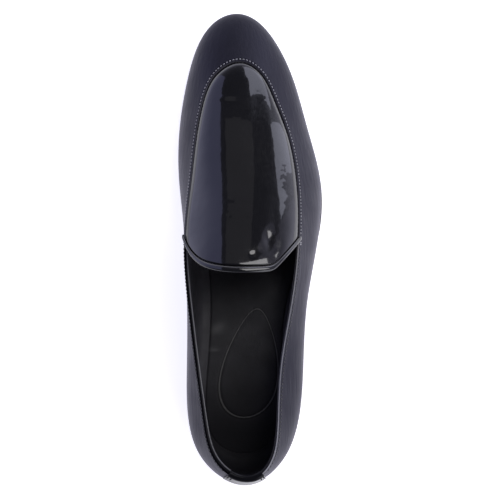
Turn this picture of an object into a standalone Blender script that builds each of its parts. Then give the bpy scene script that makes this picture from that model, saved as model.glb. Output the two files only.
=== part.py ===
"""Slip-on shoe for the right foot, standing empty on its sole.

The upper follows a last given by three closed lines round the shoe (sole edge, widest line of the wall,
rim of the wall) and by the crown of the vamp. Every line is a function of one share that runs from the
heel back along the medial side to the toe (0 to 1) and back along the lateral side (1 to 2).
Tables are in millimetres, x to the lateral side, y from heel to toe, z up from the floor.
"""
import math

import bmesh
import bpy
import numpy as np

# Main sizes in millimetres
LENGTH = 300.0
WALL = 2.4
GAP = 0.3
FEATHER_INSET = 1.2
INSOLE_THICK = 2.4
RECESS = 1.5
PLUG_THICK = 1.0
BINDING_WIDTH = 3.0
BINDING_CROWN = 0.8
TIP_THICK = 6.0
TAB_THICK = 1.0
TAB_SHARE = 0.076
TAB_OUTER_LEG = 0.26
TAB_INNER_LEG = 0.12
TAB_TOP_RISE = 0.25
SOLE_TOP_BEVEL = 0.5
SOLE_EDGE_DROP = 0.6
SOLE_SIDE_TUCK = 0.25
INSOLE_CLEAR = 0.5
INSOLE_BEVEL = 0.6
SEAM_CLEAR = 0.5
MM = 0.001

# Shares of the shoe's length where the throat and the front of the plug lie, and of the wall's height
WAIST_SHARE = 0.5
PLUG_FRONT = 0.968
PLUG_NORMAL_FRONT = 0.985
LOW_SHARE = 0.3

# Number of steps along half the shoe, up the wall, across and along the plug
STEPS_SIDE = 44
STEPS_WALL = 9
STEPS_ACROSS = 14
STEPS_PLUG = 20
STEPS_UNDER = 4
STEPS_BINDING = 6
STEPS_TAB = 12
STEPS_TAB_OUTER = 5
STEPS_TAB_INNER = 3
STEPS_BRACE = 52
SHARE_STEP = 1e-4
SMOOTH_BELOW = math.radians(40.0)

# Sole edge seen from above and height of its top: a row for each section
SOLE_COLUMNS = ("share", "medial", "lateral", "top_z")
SOLE_ROWS = (
    (0.0000, -4.5, -4.5, 25.0),
    (0.0833, -21.4, 12.4, 25.0),
    (0.1667, -34.0, 24.9, 24.6),
    (0.2500, -38.0, 29.6, 23.4),
    (0.3333, -36.2, 29.6, 20.6),
    (0.4167, -35.2, 34.0, 14.4),
    (0.5000, -39.8, 45.7, 8.2),
    (0.5833, -47.9, 48.0, 5.0),
    (0.6667, -47.9, 39.3, 5.2),
    (0.7500, -42.9, 30.1, 7.6),
    (0.8333, -35.5, 18.7, 10.6),
    (0.9167, -24.1, 5.8, 13.0),
    (1.0000, -8.8, -8.8, 14.0),
)

# Underside of the sole: its height, level on the floor below zero, and how far its round side runs in
UNDER_COLUMNS = ("share", "bottom_z", "medial", "lateral", "round")
UNDER_ROWS = (
    (0.0000, -1.6, 2.6, 2.6, 2.0),
    (0.2500, -1.4, 2.6, 2.6, 2.0),
    (0.3333, -0.4, 3.6, 3.0, 2.2),
    (0.3800, 5.6, 5.4, 3.8, 2.8),
    (0.4167, 8.6, 6.6, 4.6, 3.0),
    (0.5000, 3.4, 6.4, 5.4, 3.4),
    (0.5500, 0.4, 5.6, 5.4, 3.6),
    (0.5833, -0.2, 5.2, 5.2, 3.6),
    (0.6667, -0.2, 4.6, 4.6, 3.6),
    (0.7500, 2.6, 4.2, 4.2, 3.6),
    (0.8333, 5.6, 4.0, 4.0, 3.6),
    (0.9167, 8.0, 4.0, 4.0, 3.6),
    (1.0000, 9.0, 4.0, 4.0, 3.6),
)

# Widest line of the upper and its height above the sole top
WIDEST_COLUMNS = ("share", "medial", "lateral", "rise_medial", "rise_lateral")
WIDEST_ROWS = (
    (0.0000, -4.2, -4.2, 18.0, 18.0),
    (0.0833, -20.2, 11.4, 17.0, 17.0),
    (0.1667, -33.8, 24.9, 16.0, 15.0),
    (0.2500, -39.6, 31.8, 16.0, 14.0),
    (0.3333, -39.8, 34.0, 19.0, 15.0),
    (0.4167, -39.6, 36.9, 22.0, 14.0),
    (0.5000, -41.4, 44.4, 19.0, 9.0),
    (0.5833, -47.0, 46.8, 9.0, 6.0),
    (0.6667, -47.1, 38.4, 6.5, 6.0),
    (0.7500, -42.1, 29.3, 6.0, 6.0),
    (0.8333, -34.6, 18.0, 5.5, 5.5),
    (0.9167, -23.3, 5.2, 5.0, 5.0),
    (1.0000, -8.8, -8.8, 5.0, 5.0),
)

# Rim of the wall: topline of the collar up to share 0.5, seam of the plug beyond it
RIM_COLUMNS = ("share", "y", "medial", "lateral", "medial_z", "lateral_z")
RIM_ROWS = (
    (0.0000, 10.3, -1.5, -1.5, 79.0, 79.0),
    (0.0833, 14.0, -13.6, 8.3, 78.0, 78.0),
    (0.1667, 26.6, -23.6, 15.2, 74.8, 74.4),
    (0.2500, 48.0, -28.3, 17.2, 70.0, 68.6),
    (0.3333, 77.0, -32.8, 19.4, 65.8, 63.2),
    (0.4167, 112.0, -37.4, 25.6, 64.2, 60.8),
    (0.5000, 148.5, -39.8, 29.6, 63.6, 60.6),
    (0.5833, 183.0, -37.5, 29.8, 51.5, 49.0),
    (0.6667, 213.0, -34.6, 25.4, 44.2, 41.8),
    (0.7500, 237.0, -30.5, 16.9, 40.2, 39.0),
    (0.8333, 252.2, -24.4, 10.0, 38.4, 38.0),
    (0.9167, 260.6, -15.6, 2.0, 37.6, 37.6),
    (1.0000, 263.4, -6.5, -6.5, 37.4, 37.4),
)

# Crown of the plug over its width squared, and how far the throat line runs back at its middle
PLUG_COLUMNS = ("share", "crown", "bow")
PLUG_ROWS = (
    (0.5000, 0.00415, 17.6),
    (0.5417, 0.00335, 11.0),
    (0.5833, 0.00290, 5.6),
    (0.6667, 0.00268, 0.8),
    (0.7500, 0.00285, 0.0),
    (0.8333, 0.00305, 0.0),
    (0.9167, 0.00320, 0.0),
    (1.0000, 0.00320, 0.0),
)

# Front edge of the heel tip across the heel: a brace with its point toward the back
BRACE_COLUMNS = ("x", "y")
BRACE_ROWS = (
    (-60.0, 52.0),
    (-42.0, 50.6),
    (-34.0, 48.8),
    (-26.0, 45.2),
    (-18.0, 38.4),
    (-13.0, 33.2),
    (-9.0, 31.6),
    (-5.0, 32.6),
    (2.0, 36.0),
    (10.0, 39.0),
    (20.0, 40.4),
    (30.0, 40.6),
    (50.0, 40.6),
)

# Block that cuts the heel tip from the sole, behind the brace
BLOCK_SIDES = (-56.0, 48.0)
BLOCK_BACK = -20.0
BLOCK_FLOOR = -10.0

# Shape of the wall and the crown
HEEL_TUCK = 2.4
HEEL_TUCK_RUN = 12.0
SOLE_HEEL_TUCK = 1.0
TOE_TUCK = 0.7
RISE_HANDLE = 0.52
RIM_HANDLE = 0.46
RIM_TURN = 0.62
CROWN_FULL = 0.28
BOW_FULL = 0.65
BOW_CORNER = 0.54
BOW_ROUND = 0.08

MATERIALS = {
    "matte_leather": ((0.065, 0.065, 0.075, 1.0), 0.55),
    "patent_leather": ((0.012, 0.012, 0.014, 1.0), 0.08),
    "sock_leather": ((0.012, 0.012, 0.013, 1.0), 0.60),
    "sole_rubber": ((0.020, 0.020, 0.022, 1.0), 0.42),
    "tip_rubber": ((0.018, 0.018, 0.020, 1.0), 0.50),
}


def spline(knots, values, flat):
    """Cubic spline through the rows; flat gives it level ends, otherwise they run straight on."""
    x = np.asarray(knots, float)
    y = np.asarray(values, float)
    h = np.diff(x)
    slope = np.diff(y) / h
    size = len(x)
    system = np.zeros((size, size))
    right = np.zeros(size)
    inner = np.arange(1, size - 1)
    system[inner, inner - 1] = h[:-1]
    system[inner, inner] = 2.0 * (h[:-1] + h[1:])
    system[inner, inner + 1] = h[1:]
    right[inner] = 6.0 * np.diff(slope)
    system[0, 0] = system[-1, -1] = 2.0
    if flat:
        system[0, 1] = system[-1, -2] = 1.0
        right[0] = 6.0 * slope[0] / h[0]
        right[-1] = -6.0 * slope[-1] / h[-1]
    bend = np.linalg.solve(system, right)

    def at(value):
        value = np.clip(value, x[0], x[-1])
        k = np.clip(np.searchsorted(x, value) - 1, 0, size - 2)
        a = x[k + 1] - value
        b = value - x[k]
        curve = (bend[k] * a**3 + bend[k + 1] * b**3) / (6.0 * h[k])
        line_a = (y[k] / h[k] - bend[k] * h[k] / 6.0) * a
        line_b = (y[k + 1] / h[k] - bend[k + 1] * h[k] / 6.0) * b
        return curve + line_a + line_b

    return at


def table(columns, rows, flat=()):
    """Functions of the first column, one for each other column."""
    data = np.array(rows, float)
    found = {}
    for place, name in enumerate(columns[1:], start=1):
        found[name] = spline(data[:, 0], data[:, place], name in flat)
    return found


SOLE = table(SOLE_COLUMNS, SOLE_ROWS, ("top_z",))
UNDER = table(UNDER_COLUMNS, UNDER_ROWS, ("bottom_z", "medial", "lateral", "round"))
WIDEST = table(WIDEST_COLUMNS, WIDEST_ROWS, ("rise_medial", "rise_lateral"))
RIM = table(RIM_COLUMNS, RIM_ROWS, ("y", "medial_z", "lateral_z"))
PLUG = table(PLUG_COLUMNS, PLUG_ROWS, ("crown", "bow"))
BRACE = table(BRACE_COLUMNS, BRACE_ROWS)


def half_share(w):
    """Share along the shoe from heel to toe, and whether it is on the medial side."""
    w = np.mod(w, 2.0)
    return np.where(w <= 1.0, w, 2.0 - w), w <= 1.0


def side_value(source, u, medial, name_medial="medial", name_lateral="lateral"):
    return np.where(medial, source[name_medial](u), source[name_lateral](u))


def station(u, heel, toe):
    """Distance from heel to toe for a share, packed toward both ends so they come out round."""
    return heel + (toe - heel) * 0.5 * (1.0 - np.cos(np.pi * u))


def length_share(y):
    """Share for a distance from the heel, the other way round from station."""
    return np.arccos(np.clip(1.0 - 2.0 * y / LENGTH, -1.0, 1.0)) / np.pi


def top_z(y):
    """Height of the sole top at a distance from the heel."""
    return SOLE["top_z"](length_share(y))


def bottom_z(y):
    """Height of the underside, level on the floor under the heel and the ball."""
    return np.maximum(UNDER["bottom_z"](length_share(y)), 0.0)


def sole_line(w):
    u, medial = half_share(w)
    return np.stack([side_value(SOLE, u, medial), station(u, SOLE_HEEL_TUCK, LENGTH)], axis=-1)


def inset_line(line, w, distance):
    """A plan line moved inward by a distance square to itself."""
    along = line(w + SHARE_STEP) - line(w - SHARE_STEP)
    along /= np.linalg.norm(along, axis=-1, keepdims=True)
    inward = np.stack([along[..., 1], -along[..., 0]], axis=-1)
    return line(w) + inward * np.asarray(distance)[..., None]


def feather(w):
    """Foot of the upper on the sole."""
    plan = inset_line(sole_line, w, np.full(np.shape(w), FEATHER_INSET))
    heel_pull = np.exp(-((plan[..., 1] / HEEL_TUCK_RUN) ** 2)) * (HEEL_TUCK - SOLE_HEEL_TUCK)
    y = plan[..., 1] + heel_pull
    return np.stack([plan[..., 0], y, top_z(y) + GAP], axis=-1)


def widest(w):
    u, medial = half_share(w)
    y = station(u, 0.0, LENGTH - TOE_TUCK)
    rise = side_value(WIDEST, u, medial, "rise_medial", "rise_lateral")
    return np.stack([side_value(WIDEST, u, medial), y, top_z(y) + rise], axis=-1)


def rim(w):
    u, medial = half_share(w)
    z = side_value(RIM, u, medial, "medial_z", "lateral_z")
    return np.stack([side_value(RIM, u, medial), RIM["y"](u), z], axis=-1)


def wall(w, t):
    """Outer face of the wall: out from the foot to the widest line, then over to the rim."""
    w, t = np.broadcast_arrays(w, t)
    foot = feather(w)
    wide = widest(w)
    top = rim(w)
    low = np.minimum(t / LOW_SHARE, 1.0)[..., None]
    spread = np.concatenate([np.repeat(1.0 - (1.0 - low) ** 2, 2, axis=-1), low], axis=-1)
    lower = foot + (wide - foot) * spread
    reach = top - wide
    handle_a = wide + reach * np.array([0.0, 0.0, RISE_HANDLE])
    handle_b = top - reach * np.array([1.0, 1.0, RIM_TURN]) * RIM_HANDLE
    b = np.maximum((t - LOW_SHARE) / (1.0 - LOW_SHARE), 0.0)[..., None]
    a = 1.0 - b
    upper = a**3 * wide + 3.0 * a * a * b * handle_a + 3.0 * a * b * b * handle_b + b**3 * top
    return np.where((t < LOW_SHARE)[..., None], lower, upper)


def past_corner(e):
    """Way past the throat's lateral corner: none before it, straight after it, rounded as a hyperbola."""
    past = e - BOW_CORNER
    return past + np.sqrt(past**2 + BOW_ROUND**2)


def bow_shape(e):
    """Throat line across, from -1 to 1: round on the medial side, level and then straight on the lateral side."""
    medial = 1.0 - (1.0 - BOW_FULL) * e**2 - BOW_FULL * e**6
    start, end = past_corner(0.0), past_corner(1.0)
    lateral = 1.0 - (past_corner(e) - start) / (end - start)
    return np.where(e < 0.0, medial, lateral)


def plug(u, r):
    """Face of the vamp top: lines across from the medial to the lateral seam, crowned and bowed back."""
    u, r = np.broadcast_arrays(u, r)
    left = rim(u)
    right = rim(2.0 - u)
    across = left + (right - left) * r[..., None]
    width = right[..., 0] - left[..., 0]
    e = 2.0 * r - 1.0
    crown = PLUG["crown"](u) * width**2 * (1.0 - (1.0 - CROWN_FULL) * e**2 - CROWN_FULL * e**4)
    bow = PLUG["bow"](u) * bow_shape(e)
    return across + np.stack([np.zeros_like(bow), -bow, crown], axis=-1)


def outward(surface, a, b):
    """Unit normal of a surface of two parameters, out of the shoe."""
    da = surface(a + SHARE_STEP, b) - surface(a - SHARE_STEP, b)
    db = surface(a, b + SHARE_STEP) - surface(a, b - SHARE_STEP)
    normal = np.cross(db, da)
    return normal / np.linalg.norm(normal, axis=-1, keepdims=True)


def wall_out(w, t):
    return outward(wall, w, np.clip(t, 2.0 * SHARE_STEP, 1.0 - 2.0 * SHARE_STEP))


def plug_out(u, r):
    return outward(plug, np.clip(u, 0.0, PLUG_NORMAL_FRONT), r)


def material(name):
    found = bpy.data.materials.get(name)
    if found is None:
        found = bpy.data.materials.new(name)
        found.use_nodes = True
        colour, rough = MATERIALS[name]
        shader = found.node_tree.nodes["Principled BSDF"]
        shader.inputs["Base Color"].default_value = colour
        shader.inputs["Roughness"].default_value = rough
    return found


def solid(name, points, faces, finish):
    """A closed mesh in metres from points in millimetres."""
    mesh = bpy.data.meshes.new(name)
    shape = bmesh.new()
    corners = [shape.verts.new(tuple(p)) for p in np.asarray(points) * MM]
    for face in faces:
        shape.faces.new([corners[k] for k in face])
    bmesh.ops.recalc_face_normals(shape, faces=shape.faces)
    shape.to_mesh(mesh)
    shape.free()
    mesh.shade_smooth()
    mesh.set_sharp_from_angle(angle=SMOOTH_BELOW)
    mesh.materials.append(material(finish))
    made = bpy.data.objects.new(name, mesh)
    bpy.context.scene.collection.objects.link(made)
    return made


def rows_faces(first, second, closed):
    """Quads between two rows of point numbers."""
    count = len(first)
    last = count if closed else count - 1
    return [(first[k], first[(k + 1) % count], second[(k + 1) % count], second[k]) for k in range(last)]


def lid_faces(ring):
    """Strips straight across a ring of points numbered heel, medial, toe, lateral."""
    half = len(ring) // 2
    faces = [(ring[0], ring[1], ring[-1])]
    for k in range(1, half - 1):
        faces.append((ring[k], ring[k + 1], ring[-k - 1], ring[-k]))
    faces.append((ring[half - 1], ring[half], ring[half + 1]))
    return faces


def stack_solid(name, rings, finish):
    """A solid from closed rings of points, with a lid on the first and the last ring."""
    count = len(rings[0])
    numbers = [list(range(k * count, (k + 1) * count)) for k in range(len(rings))]
    faces = lid_faces(numbers[0]) + lid_faces(numbers[-1])
    for lower, upper in zip(numbers, numbers[1:]):
        faces += rows_faces(lower, upper, True)
    return solid(name, np.concatenate(rings), faces, finish)


def loop_shares():
    return np.arange(2 * STEPS_SIDE) / STEPS_SIDE


def sole_rings():
    """Rings of the sole: top edge, side, and the rounded run under to the flat bottom."""
    w = loop_shares()
    u, medial = half_share(w)
    under = side_value(UNDER, u, medial)
    height = UNDER["round"](u)
    top = inset_line(sole_line, w, np.full(w.shape, SOLE_TOP_BEVEL))
    edge = sole_line(w)
    rings = [
        np.column_stack([top, top_z(top[:, 1])]),
        np.column_stack([edge, top_z(edge[:, 1]) - SOLE_EDGE_DROP]),
    ]
    for angle in np.linspace(0.0, math.pi / 2.0, STEPS_UNDER + 1):
        plan = inset_line(sole_line, w, SOLE_SIDE_TUCK + under * (1.0 - math.cos(angle)))
        base = bottom_z(plan[:, 1])
        rings.append(np.column_stack([plan, base + height * (1.0 - math.sin(angle))]))
    return rings


def brace_prism(name, setback, height):
    """Block behind the brace line of the heel tip, for cutting."""
    left, right = BLOCK_SIDES
    x = np.linspace(left, right, STEPS_BRACE + 1)
    front = np.column_stack([x, BRACE["y"](x) - setback])
    back = np.array([[right, BLOCK_BACK], [left, BLOCK_BACK]])
    plan = np.concatenate([front, back])
    count = len(plan)
    points = np.concatenate([
        np.column_stack([plan, np.full(count, BLOCK_FLOOR)]),
        np.column_stack([plan, np.full(count, height)]),
    ])
    low = list(range(count))
    high = list(range(count, 2 * count))
    block = solid(name, points, [low, high] + rows_faces(low, high, True), "sole_rubber")
    block.hide_render = True
    block.display_type = "WIRE"
    return block


def cut(target, cutter, operation):
    change = target.modifiers.new(operation.title(), "BOOLEAN")
    change.operation = operation
    change.solver = "EXACT"
    change.object = cutter


def build_sole():
    rings = sole_rings()
    outsole = stack_solid("outsole", rings, "sole_rubber")
    cut(outsole, brace_prism("outsole_cutter", -GAP, TIP_THICK + GAP), "DIFFERENCE")
    tip = stack_solid("heel_tip", rings, "tip_rubber")
    cut(tip, brace_prism("heel_tip_cutter", GAP, TIP_THICK), "INTERSECT")


def build_insole():
    w = loop_shares()
    rings = []
    top = GAP + INSOLE_THICK
    steps = ((GAP, 0.0), (top - INSOLE_BEVEL, 0.0), (top, INSOLE_BEVEL))
    for rise, bevel in steps:
        inset = np.full(w.shape, WALL + INSOLE_CLEAR + bevel)
        plan = inset_line(lambda s: feather(s)[..., :2], w, inset)
        rings.append(np.column_stack([plan, top_z(plan[:, 1]) + rise]))
    stack_solid("insole", rings, "sock_leather")


def plug_grid():
    """Shares of the plug along and across."""
    u = WAIST_SHARE + (1.0 - WAIST_SHARE) * np.arange(STEPS_PLUG + 1) / STEPS_PLUG
    r = np.arange(STEPS_ACROSS + 1) / STEPS_ACROSS
    return u, r


def seam_normal(u, medial):
    """Normal along the seam, midway between the wall and the plug."""
    w = u if medial else 2.0 - u
    both = wall_out(w, np.ones_like(u)) + plug_out(u, np.full(u.shape, 0.0 if medial else 1.0))
    return both / np.linalg.norm(both, axis=-1, keepdims=True)


class Points:
    """Collects points and gives back their numbers."""

    def __init__(self):
        self.rows = []
        self.count = 0

    def add(self, points):
        points = np.asarray(points).reshape(-1, 3)
        numbers = list(range(self.count, self.count + len(points)))
        self.rows.append(points)
        self.count += len(points)
        return numbers

    def all(self):
        return np.concatenate(self.rows)


def build_upper():
    """One hollow wall with its lining, open at the collar, throat and foot, let in for the plug."""
    quarter = np.arange(STEPS_SIDE // 2) / STEPS_SIDE
    u, r = plug_grid()
    front = u[:-1]
    shares = np.concatenate([quarter, front, [1.0], 2.0 - front[::-1], 2.0 - quarter[:0:-1]])
    columns = len(shares)
    first = len(quarter)
    toe = first + len(front)
    normals_seam = np.concatenate([seam_normal(u, True), seam_normal(u[:-1][::-1], False)])
    seam = list(range(first, first + len(normals_seam)))

    points = Points()
    faces = []
    outer, inner = [], []
    steps = np.linspace(0.0, 1.0, STEPS_WALL + 1)
    for t in steps:
        flat = np.full(columns, t)
        face = wall(shares, flat)
        normal = wall_out(shares, flat)
        if t == 1.0:
            normal[seam] = normals_seam
        lining = face - WALL * normal
        if t == 0.0:
            lining[:, 2] = face[:, 2]
        outer.append(points.add(face))
        inner.append(points.add(lining))
        rim_face, rim_normal = face, normal
    for lower, upper in zip(outer, outer[1:]):
        faces += rows_faces(lower, upper, True)
    for lower, upper in zip(inner, inner[1:]):
        faces += rows_faces(lower, upper, True)
    faces += rows_faces(outer[0], inner[0], True)

    step = dict(zip(seam, points.add(rim_face[seam] - RECESS * rim_normal[seam])))
    top_out, top_in = outer[-1], inner[-1]
    start, end = seam[0], seam[-1]
    for k in range(columns):
        n = (k + 1) % columns
        if start <= k < end:
            faces.append((top_out[k], top_out[n], step[n], step[k]))
        elif n == start:
            faces.append((top_out[k], top_out[n], step[n], top_in[n], top_in[k]))
        elif k == end:
            faces.append((top_out[k], top_out[n], top_in[n], top_in[k], step[k]))
        else:
            faces.append((top_out[k], top_out[n], top_in[n], top_in[k]))

    floor, roof = [], []
    for k, share in enumerate(u[:-1]):
        across = np.full(len(r) - 2, share)
        face = plug(across, r[1:-1])
        normal = plug_out(across, r[1:-1])
        left, right = start + k, end - k
        floor.append([step[left]] + points.add(face - RECESS * normal) + [step[right]])
        roof.append([top_in[left]] + points.add(face - WALL * normal) + [top_in[right]])
    for rows, tip in ((floor, step[toe]), (roof, top_in[toe])):
        for back, ahead in zip(rows, rows[1:]):
            faces += rows_faces(back, ahead, False)
        faces += [(a, b, tip) for a, b in zip(rows[-1], rows[-1][1:])]
    faces += rows_faces(floor[0], roof[0], False)
    solid("upper", points.all(), faces, "matte_leather")


def throat_step(r, distance):
    """Share along the plug that lies a distance forward of the throat line."""
    start = np.full(r.shape, WAIST_SHARE)
    along = (plug(start + SHARE_STEP, r) - plug(start, r)) / SHARE_STEP
    return WAIST_SHARE + distance / np.linalg.norm(along, axis=-1)


def clear_of_seams(u, r):
    """Shares across moved in from both seams by the clearance there."""
    width = rim(2.0 - u)[..., 0] - rim(u)[..., 0]
    trim = SEAM_CLEAR / width
    return trim + r * (1.0 - 2.0 * trim)


def build_plug():
    """Patent apron lying in the recess of the upper, behind its stitched edge."""
    _, r = plug_grid()
    runs = np.arange(STEPS_PLUG + 1) / STEPS_PLUG
    start = throat_step(clear_of_seams(np.full(r.shape, WAIST_SHARE), r), BINDING_WIDTH + GAP)
    u = start[None, :] + (PLUG_FRONT - start[None, :]) * runs[:, None]
    across = clear_of_seams(u, np.broadcast_to(r, u.shape))
    face = plug(u, across)
    normal = plug_out(u, across)
    sink = RECESS - GAP - PLUG_THICK
    high = face - sink * normal
    low = face - (sink + PLUG_THICK) * normal
    grid_solid("vamp_plug", high, low, "patent_leather")


def grid_solid(name, high, low, finish):
    """A sheet with thickness from two grids of points."""
    rows, columns = high.shape[:2]
    top = np.arange(rows * columns).reshape(rows, columns)
    base = top + rows * columns
    faces = []
    for k in range(rows - 1):
        faces += rows_faces(list(top[k]), list(top[k + 1]), False)
        faces += rows_faces(list(base[k]), list(base[k + 1]), False)
    edge = list(top[0]) + list(top[1:, -1]) + list(top[-1, -2::-1]) + list(top[-2:0:-1, 0])
    below = [k + rows * columns for k in edge]
    faces += rows_faces(edge, below, True)
    return solid(name, np.concatenate([high.reshape(-1, 3), low.reshape(-1, 3)]), faces, finish)


def build_binding():
    """Rolled strip along the throat, domed on top."""
    _, r = plug_grid()
    across = clear_of_seams(np.full(r.shape, WAIST_SHARE), r)
    end = throat_step(across, BINDING_WIDTH)
    sink = RECESS - GAP
    runs = np.arange(STEPS_BINDING + 1) / STEPS_BINDING
    u = WAIST_SHARE + (end - WAIST_SHARE)[None, :] * runs[:, None]
    wide = np.broadcast_to(across, u.shape)
    face = plug(u, wide)
    normal = plug_out(u, wide)
    dome = BINDING_CROWN * np.sqrt(np.clip(1.0 - (2.0 * runs - 1.0) ** 2, 0.0, 1.0))
    high = face + dome[:, None, None] * normal
    low = face - sink * normal
    grid_solid("throat_binding", high, low, "patent_leather")


def build_tab():
    """Tab folded over the back of the collar, on the outside and the lining."""
    w = TAB_SHARE * np.linspace(-1.0, 1.0, STEPS_TAB + 1)
    near, far = [], []
    for t in np.linspace(1.0 - TAB_OUTER_LEG, 1.0, STEPS_TAB_OUTER + 1):
        flat = np.full(w.shape, t)
        normal = wall_out(w, flat)
        near.append(wall(w, flat) + GAP * normal)
        far.append(wall(w, flat) + (GAP + TAB_THICK) * normal)
    flat = np.ones(w.shape)
    top = wall(w, flat)
    normal = wall_out(w, flat)
    up = np.array([0.0, 0.0, 1.0])
    near[-1] = near[-1] + GAP * up
    far[-1] = far[-1] + GAP * up
    middle = top - 0.5 * WALL * normal
    near.append(middle + (GAP + TAB_TOP_RISE) * up)
    far.append(middle + (GAP + TAB_TOP_RISE + TAB_THICK) * up)
    for t in np.linspace(1.0, 1.0 - TAB_INNER_LEG, STEPS_TAB_INNER + 1):
        flat = np.full(w.shape, t)
        normal = wall_out(w, flat)
        lift = GAP * up if t == 1.0 else 0.0 * up
        near.append(wall(w, flat) - (WALL + GAP) * normal + lift)
        far.append(wall(w, flat) - (WALL + GAP + TAB_THICK) * normal + lift)
    grid_solid("heel_tab", np.array(far), np.array(near), "patent_leather")


def centre_all():
    """Move every mesh so the box of the visible shoe stands centred on the floor."""
    shown = [o for o in bpy.context.scene.objects if not o.hide_render]
    low = np.min([np.min([v.co for v in o.data.vertices], axis=0) for o in shown], axis=0)
    high = np.max([np.max([v.co for v in o.data.vertices], axis=0) for o in shown], axis=0)
    shift = np.array([-(low[0] + high[0]) / 2.0, -(low[1] + high[1]) / 2.0, -low[2]])
    for item in bpy.context.scene.objects:
        for vertex in item.data.vertices:
            vertex.co = vertex.co + type(vertex.co)(shift)


def main():
    for item in list(bpy.data.objects):
        bpy.data.objects.remove(item, do_unlink=True)
    build_sole()
    build_insole()
    build_upper()
    build_plug()
    build_binding()
    build_tab()
    centre_all()


main()
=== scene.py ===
"""Dresses a slip-on shoe for the right foot: leathers, patent apron, seams, lining, sock, sole and stage.

The shapes follow closed lines round the shoe. Every line is a function of one share that runs from the heel
back along the medial side to the toe (0 to 1) and back along the lateral side (1 to 2). Tables are in
millimetres, x to the lateral side, y from heel to toe, z up from the floor.
"""
import math

import bmesh
import bpy
import numpy as np
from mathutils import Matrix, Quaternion, Vector


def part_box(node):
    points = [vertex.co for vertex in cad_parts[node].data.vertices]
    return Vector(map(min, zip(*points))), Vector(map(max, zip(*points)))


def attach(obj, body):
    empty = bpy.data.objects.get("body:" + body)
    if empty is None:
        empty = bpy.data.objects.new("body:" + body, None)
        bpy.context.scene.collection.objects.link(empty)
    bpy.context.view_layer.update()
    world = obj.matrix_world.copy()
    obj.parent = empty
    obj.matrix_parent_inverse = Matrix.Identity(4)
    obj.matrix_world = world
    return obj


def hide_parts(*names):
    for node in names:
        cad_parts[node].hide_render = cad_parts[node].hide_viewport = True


bl_info = {
    "name": "Slip-on shoe",
    "version": (1, 0, 0),
    "blender": (4, 5, 0),
    "location": "View3D > Sidebar > Shoe",
    "description": "Dresses a slip-on shoe with its leathers, seams, lining, sock and sole",
    "category": "Object",
}

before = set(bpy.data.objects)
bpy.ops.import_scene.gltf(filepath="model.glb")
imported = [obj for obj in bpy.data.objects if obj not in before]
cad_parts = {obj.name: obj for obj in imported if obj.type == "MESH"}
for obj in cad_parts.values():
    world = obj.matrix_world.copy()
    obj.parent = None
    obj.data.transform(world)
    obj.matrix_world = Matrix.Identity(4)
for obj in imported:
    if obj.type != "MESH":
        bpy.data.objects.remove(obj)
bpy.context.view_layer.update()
BODY = "root"
MM = 0.001

# Distance in metres below which points of a mesh become one
WELD = 1e-8

# Main sizes of the shoe's form in millimetres
LENGTH = 300.0
WALL = 2.4
FEATHER_INSET = 1.2
FOOT_GAP = 0.05
HEEL_TUCK = 2.4
HEEL_TUCK_RUN = 12.0
SOLE_HEEL_TUCK = 1.0
TOE_TUCK = 0.7

# Small step of a share, and how many points measure a whole line and a stitch row
SHARE_STEP = 1e-4
LOOP_POINTS = 4001
ROW_POINTS = 2000

# Shares of the length where the throat lies and where the apron's normal stops turning, share of the wall's
# height where it is widest, and the roundings of wall, crown and throat
THROAT = 0.5
NORMAL_FRONT = 0.985
LOW_SHARE = 0.3
RISE_HANDLE = 0.52
RIM_HANDLE = 0.46
RIM_TURN = 0.62
CROWN_FULL = 0.28
BOW_FULL = 0.65
BOW_CORNER = 0.54
BOW_ROUND = 0.08

# Sole edge seen from above and height of its top: a row for each section
SOLE_COLUMNS = ("share", "medial", "lateral", "top_z")
SOLE_ROWS = (
    (0.0000, -4.5, -4.5, 25.0),
    (0.0833, -21.4, 12.4, 25.0),
    (0.1667, -34.0, 24.9, 24.6),
    (0.2500, -38.0, 29.6, 23.4),
    (0.3333, -36.2, 29.6, 20.6),
    (0.4167, -35.2, 34.0, 14.4),
    (0.5000, -39.8, 45.7, 8.2),
    (0.5833, -47.9, 48.0, 5.0),
    (0.6667, -47.9, 39.3, 5.2),
    (0.7500, -42.9, 30.1, 7.6),
    (0.8333, -35.5, 18.7, 10.6),
    (0.9167, -24.1, 5.8, 13.0),
    (1.0000, -8.8, -8.8, 14.0),
)

# Underside of the sole: its height, level on the floor where below zero, and how far its side runs in under
UNDER_COLUMNS = ("share", "bottom_z", "medial", "lateral", "round")
UNDER_ROWS = (
    (0.0000, -1.6, 2.6, 2.6, 2.0),
    (0.2500, -1.4, 2.6, 2.6, 2.0),
    (0.3333, -0.4, 3.6, 3.0, 2.2),
    (0.3800, 5.6, 5.4, 3.8, 2.8),
    (0.4167, 8.6, 6.6, 4.6, 3.0),
    (0.5000, 3.4, 6.4, 5.4, 3.4),
    (0.5500, 0.4, 5.6, 5.4, 3.6),
    (0.5833, -0.2, 5.2, 5.2, 3.6),
    (0.6667, -0.2, 4.6, 4.6, 3.6),
    (0.7500, 2.6, 4.2, 4.2, 3.6),
    (0.8333, 5.6, 4.0, 4.0, 3.6),
    (0.9167, 8.0, 4.0, 4.0, 3.6),
    (1.0000, 9.0, 4.0, 4.0, 3.6),
)

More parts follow.
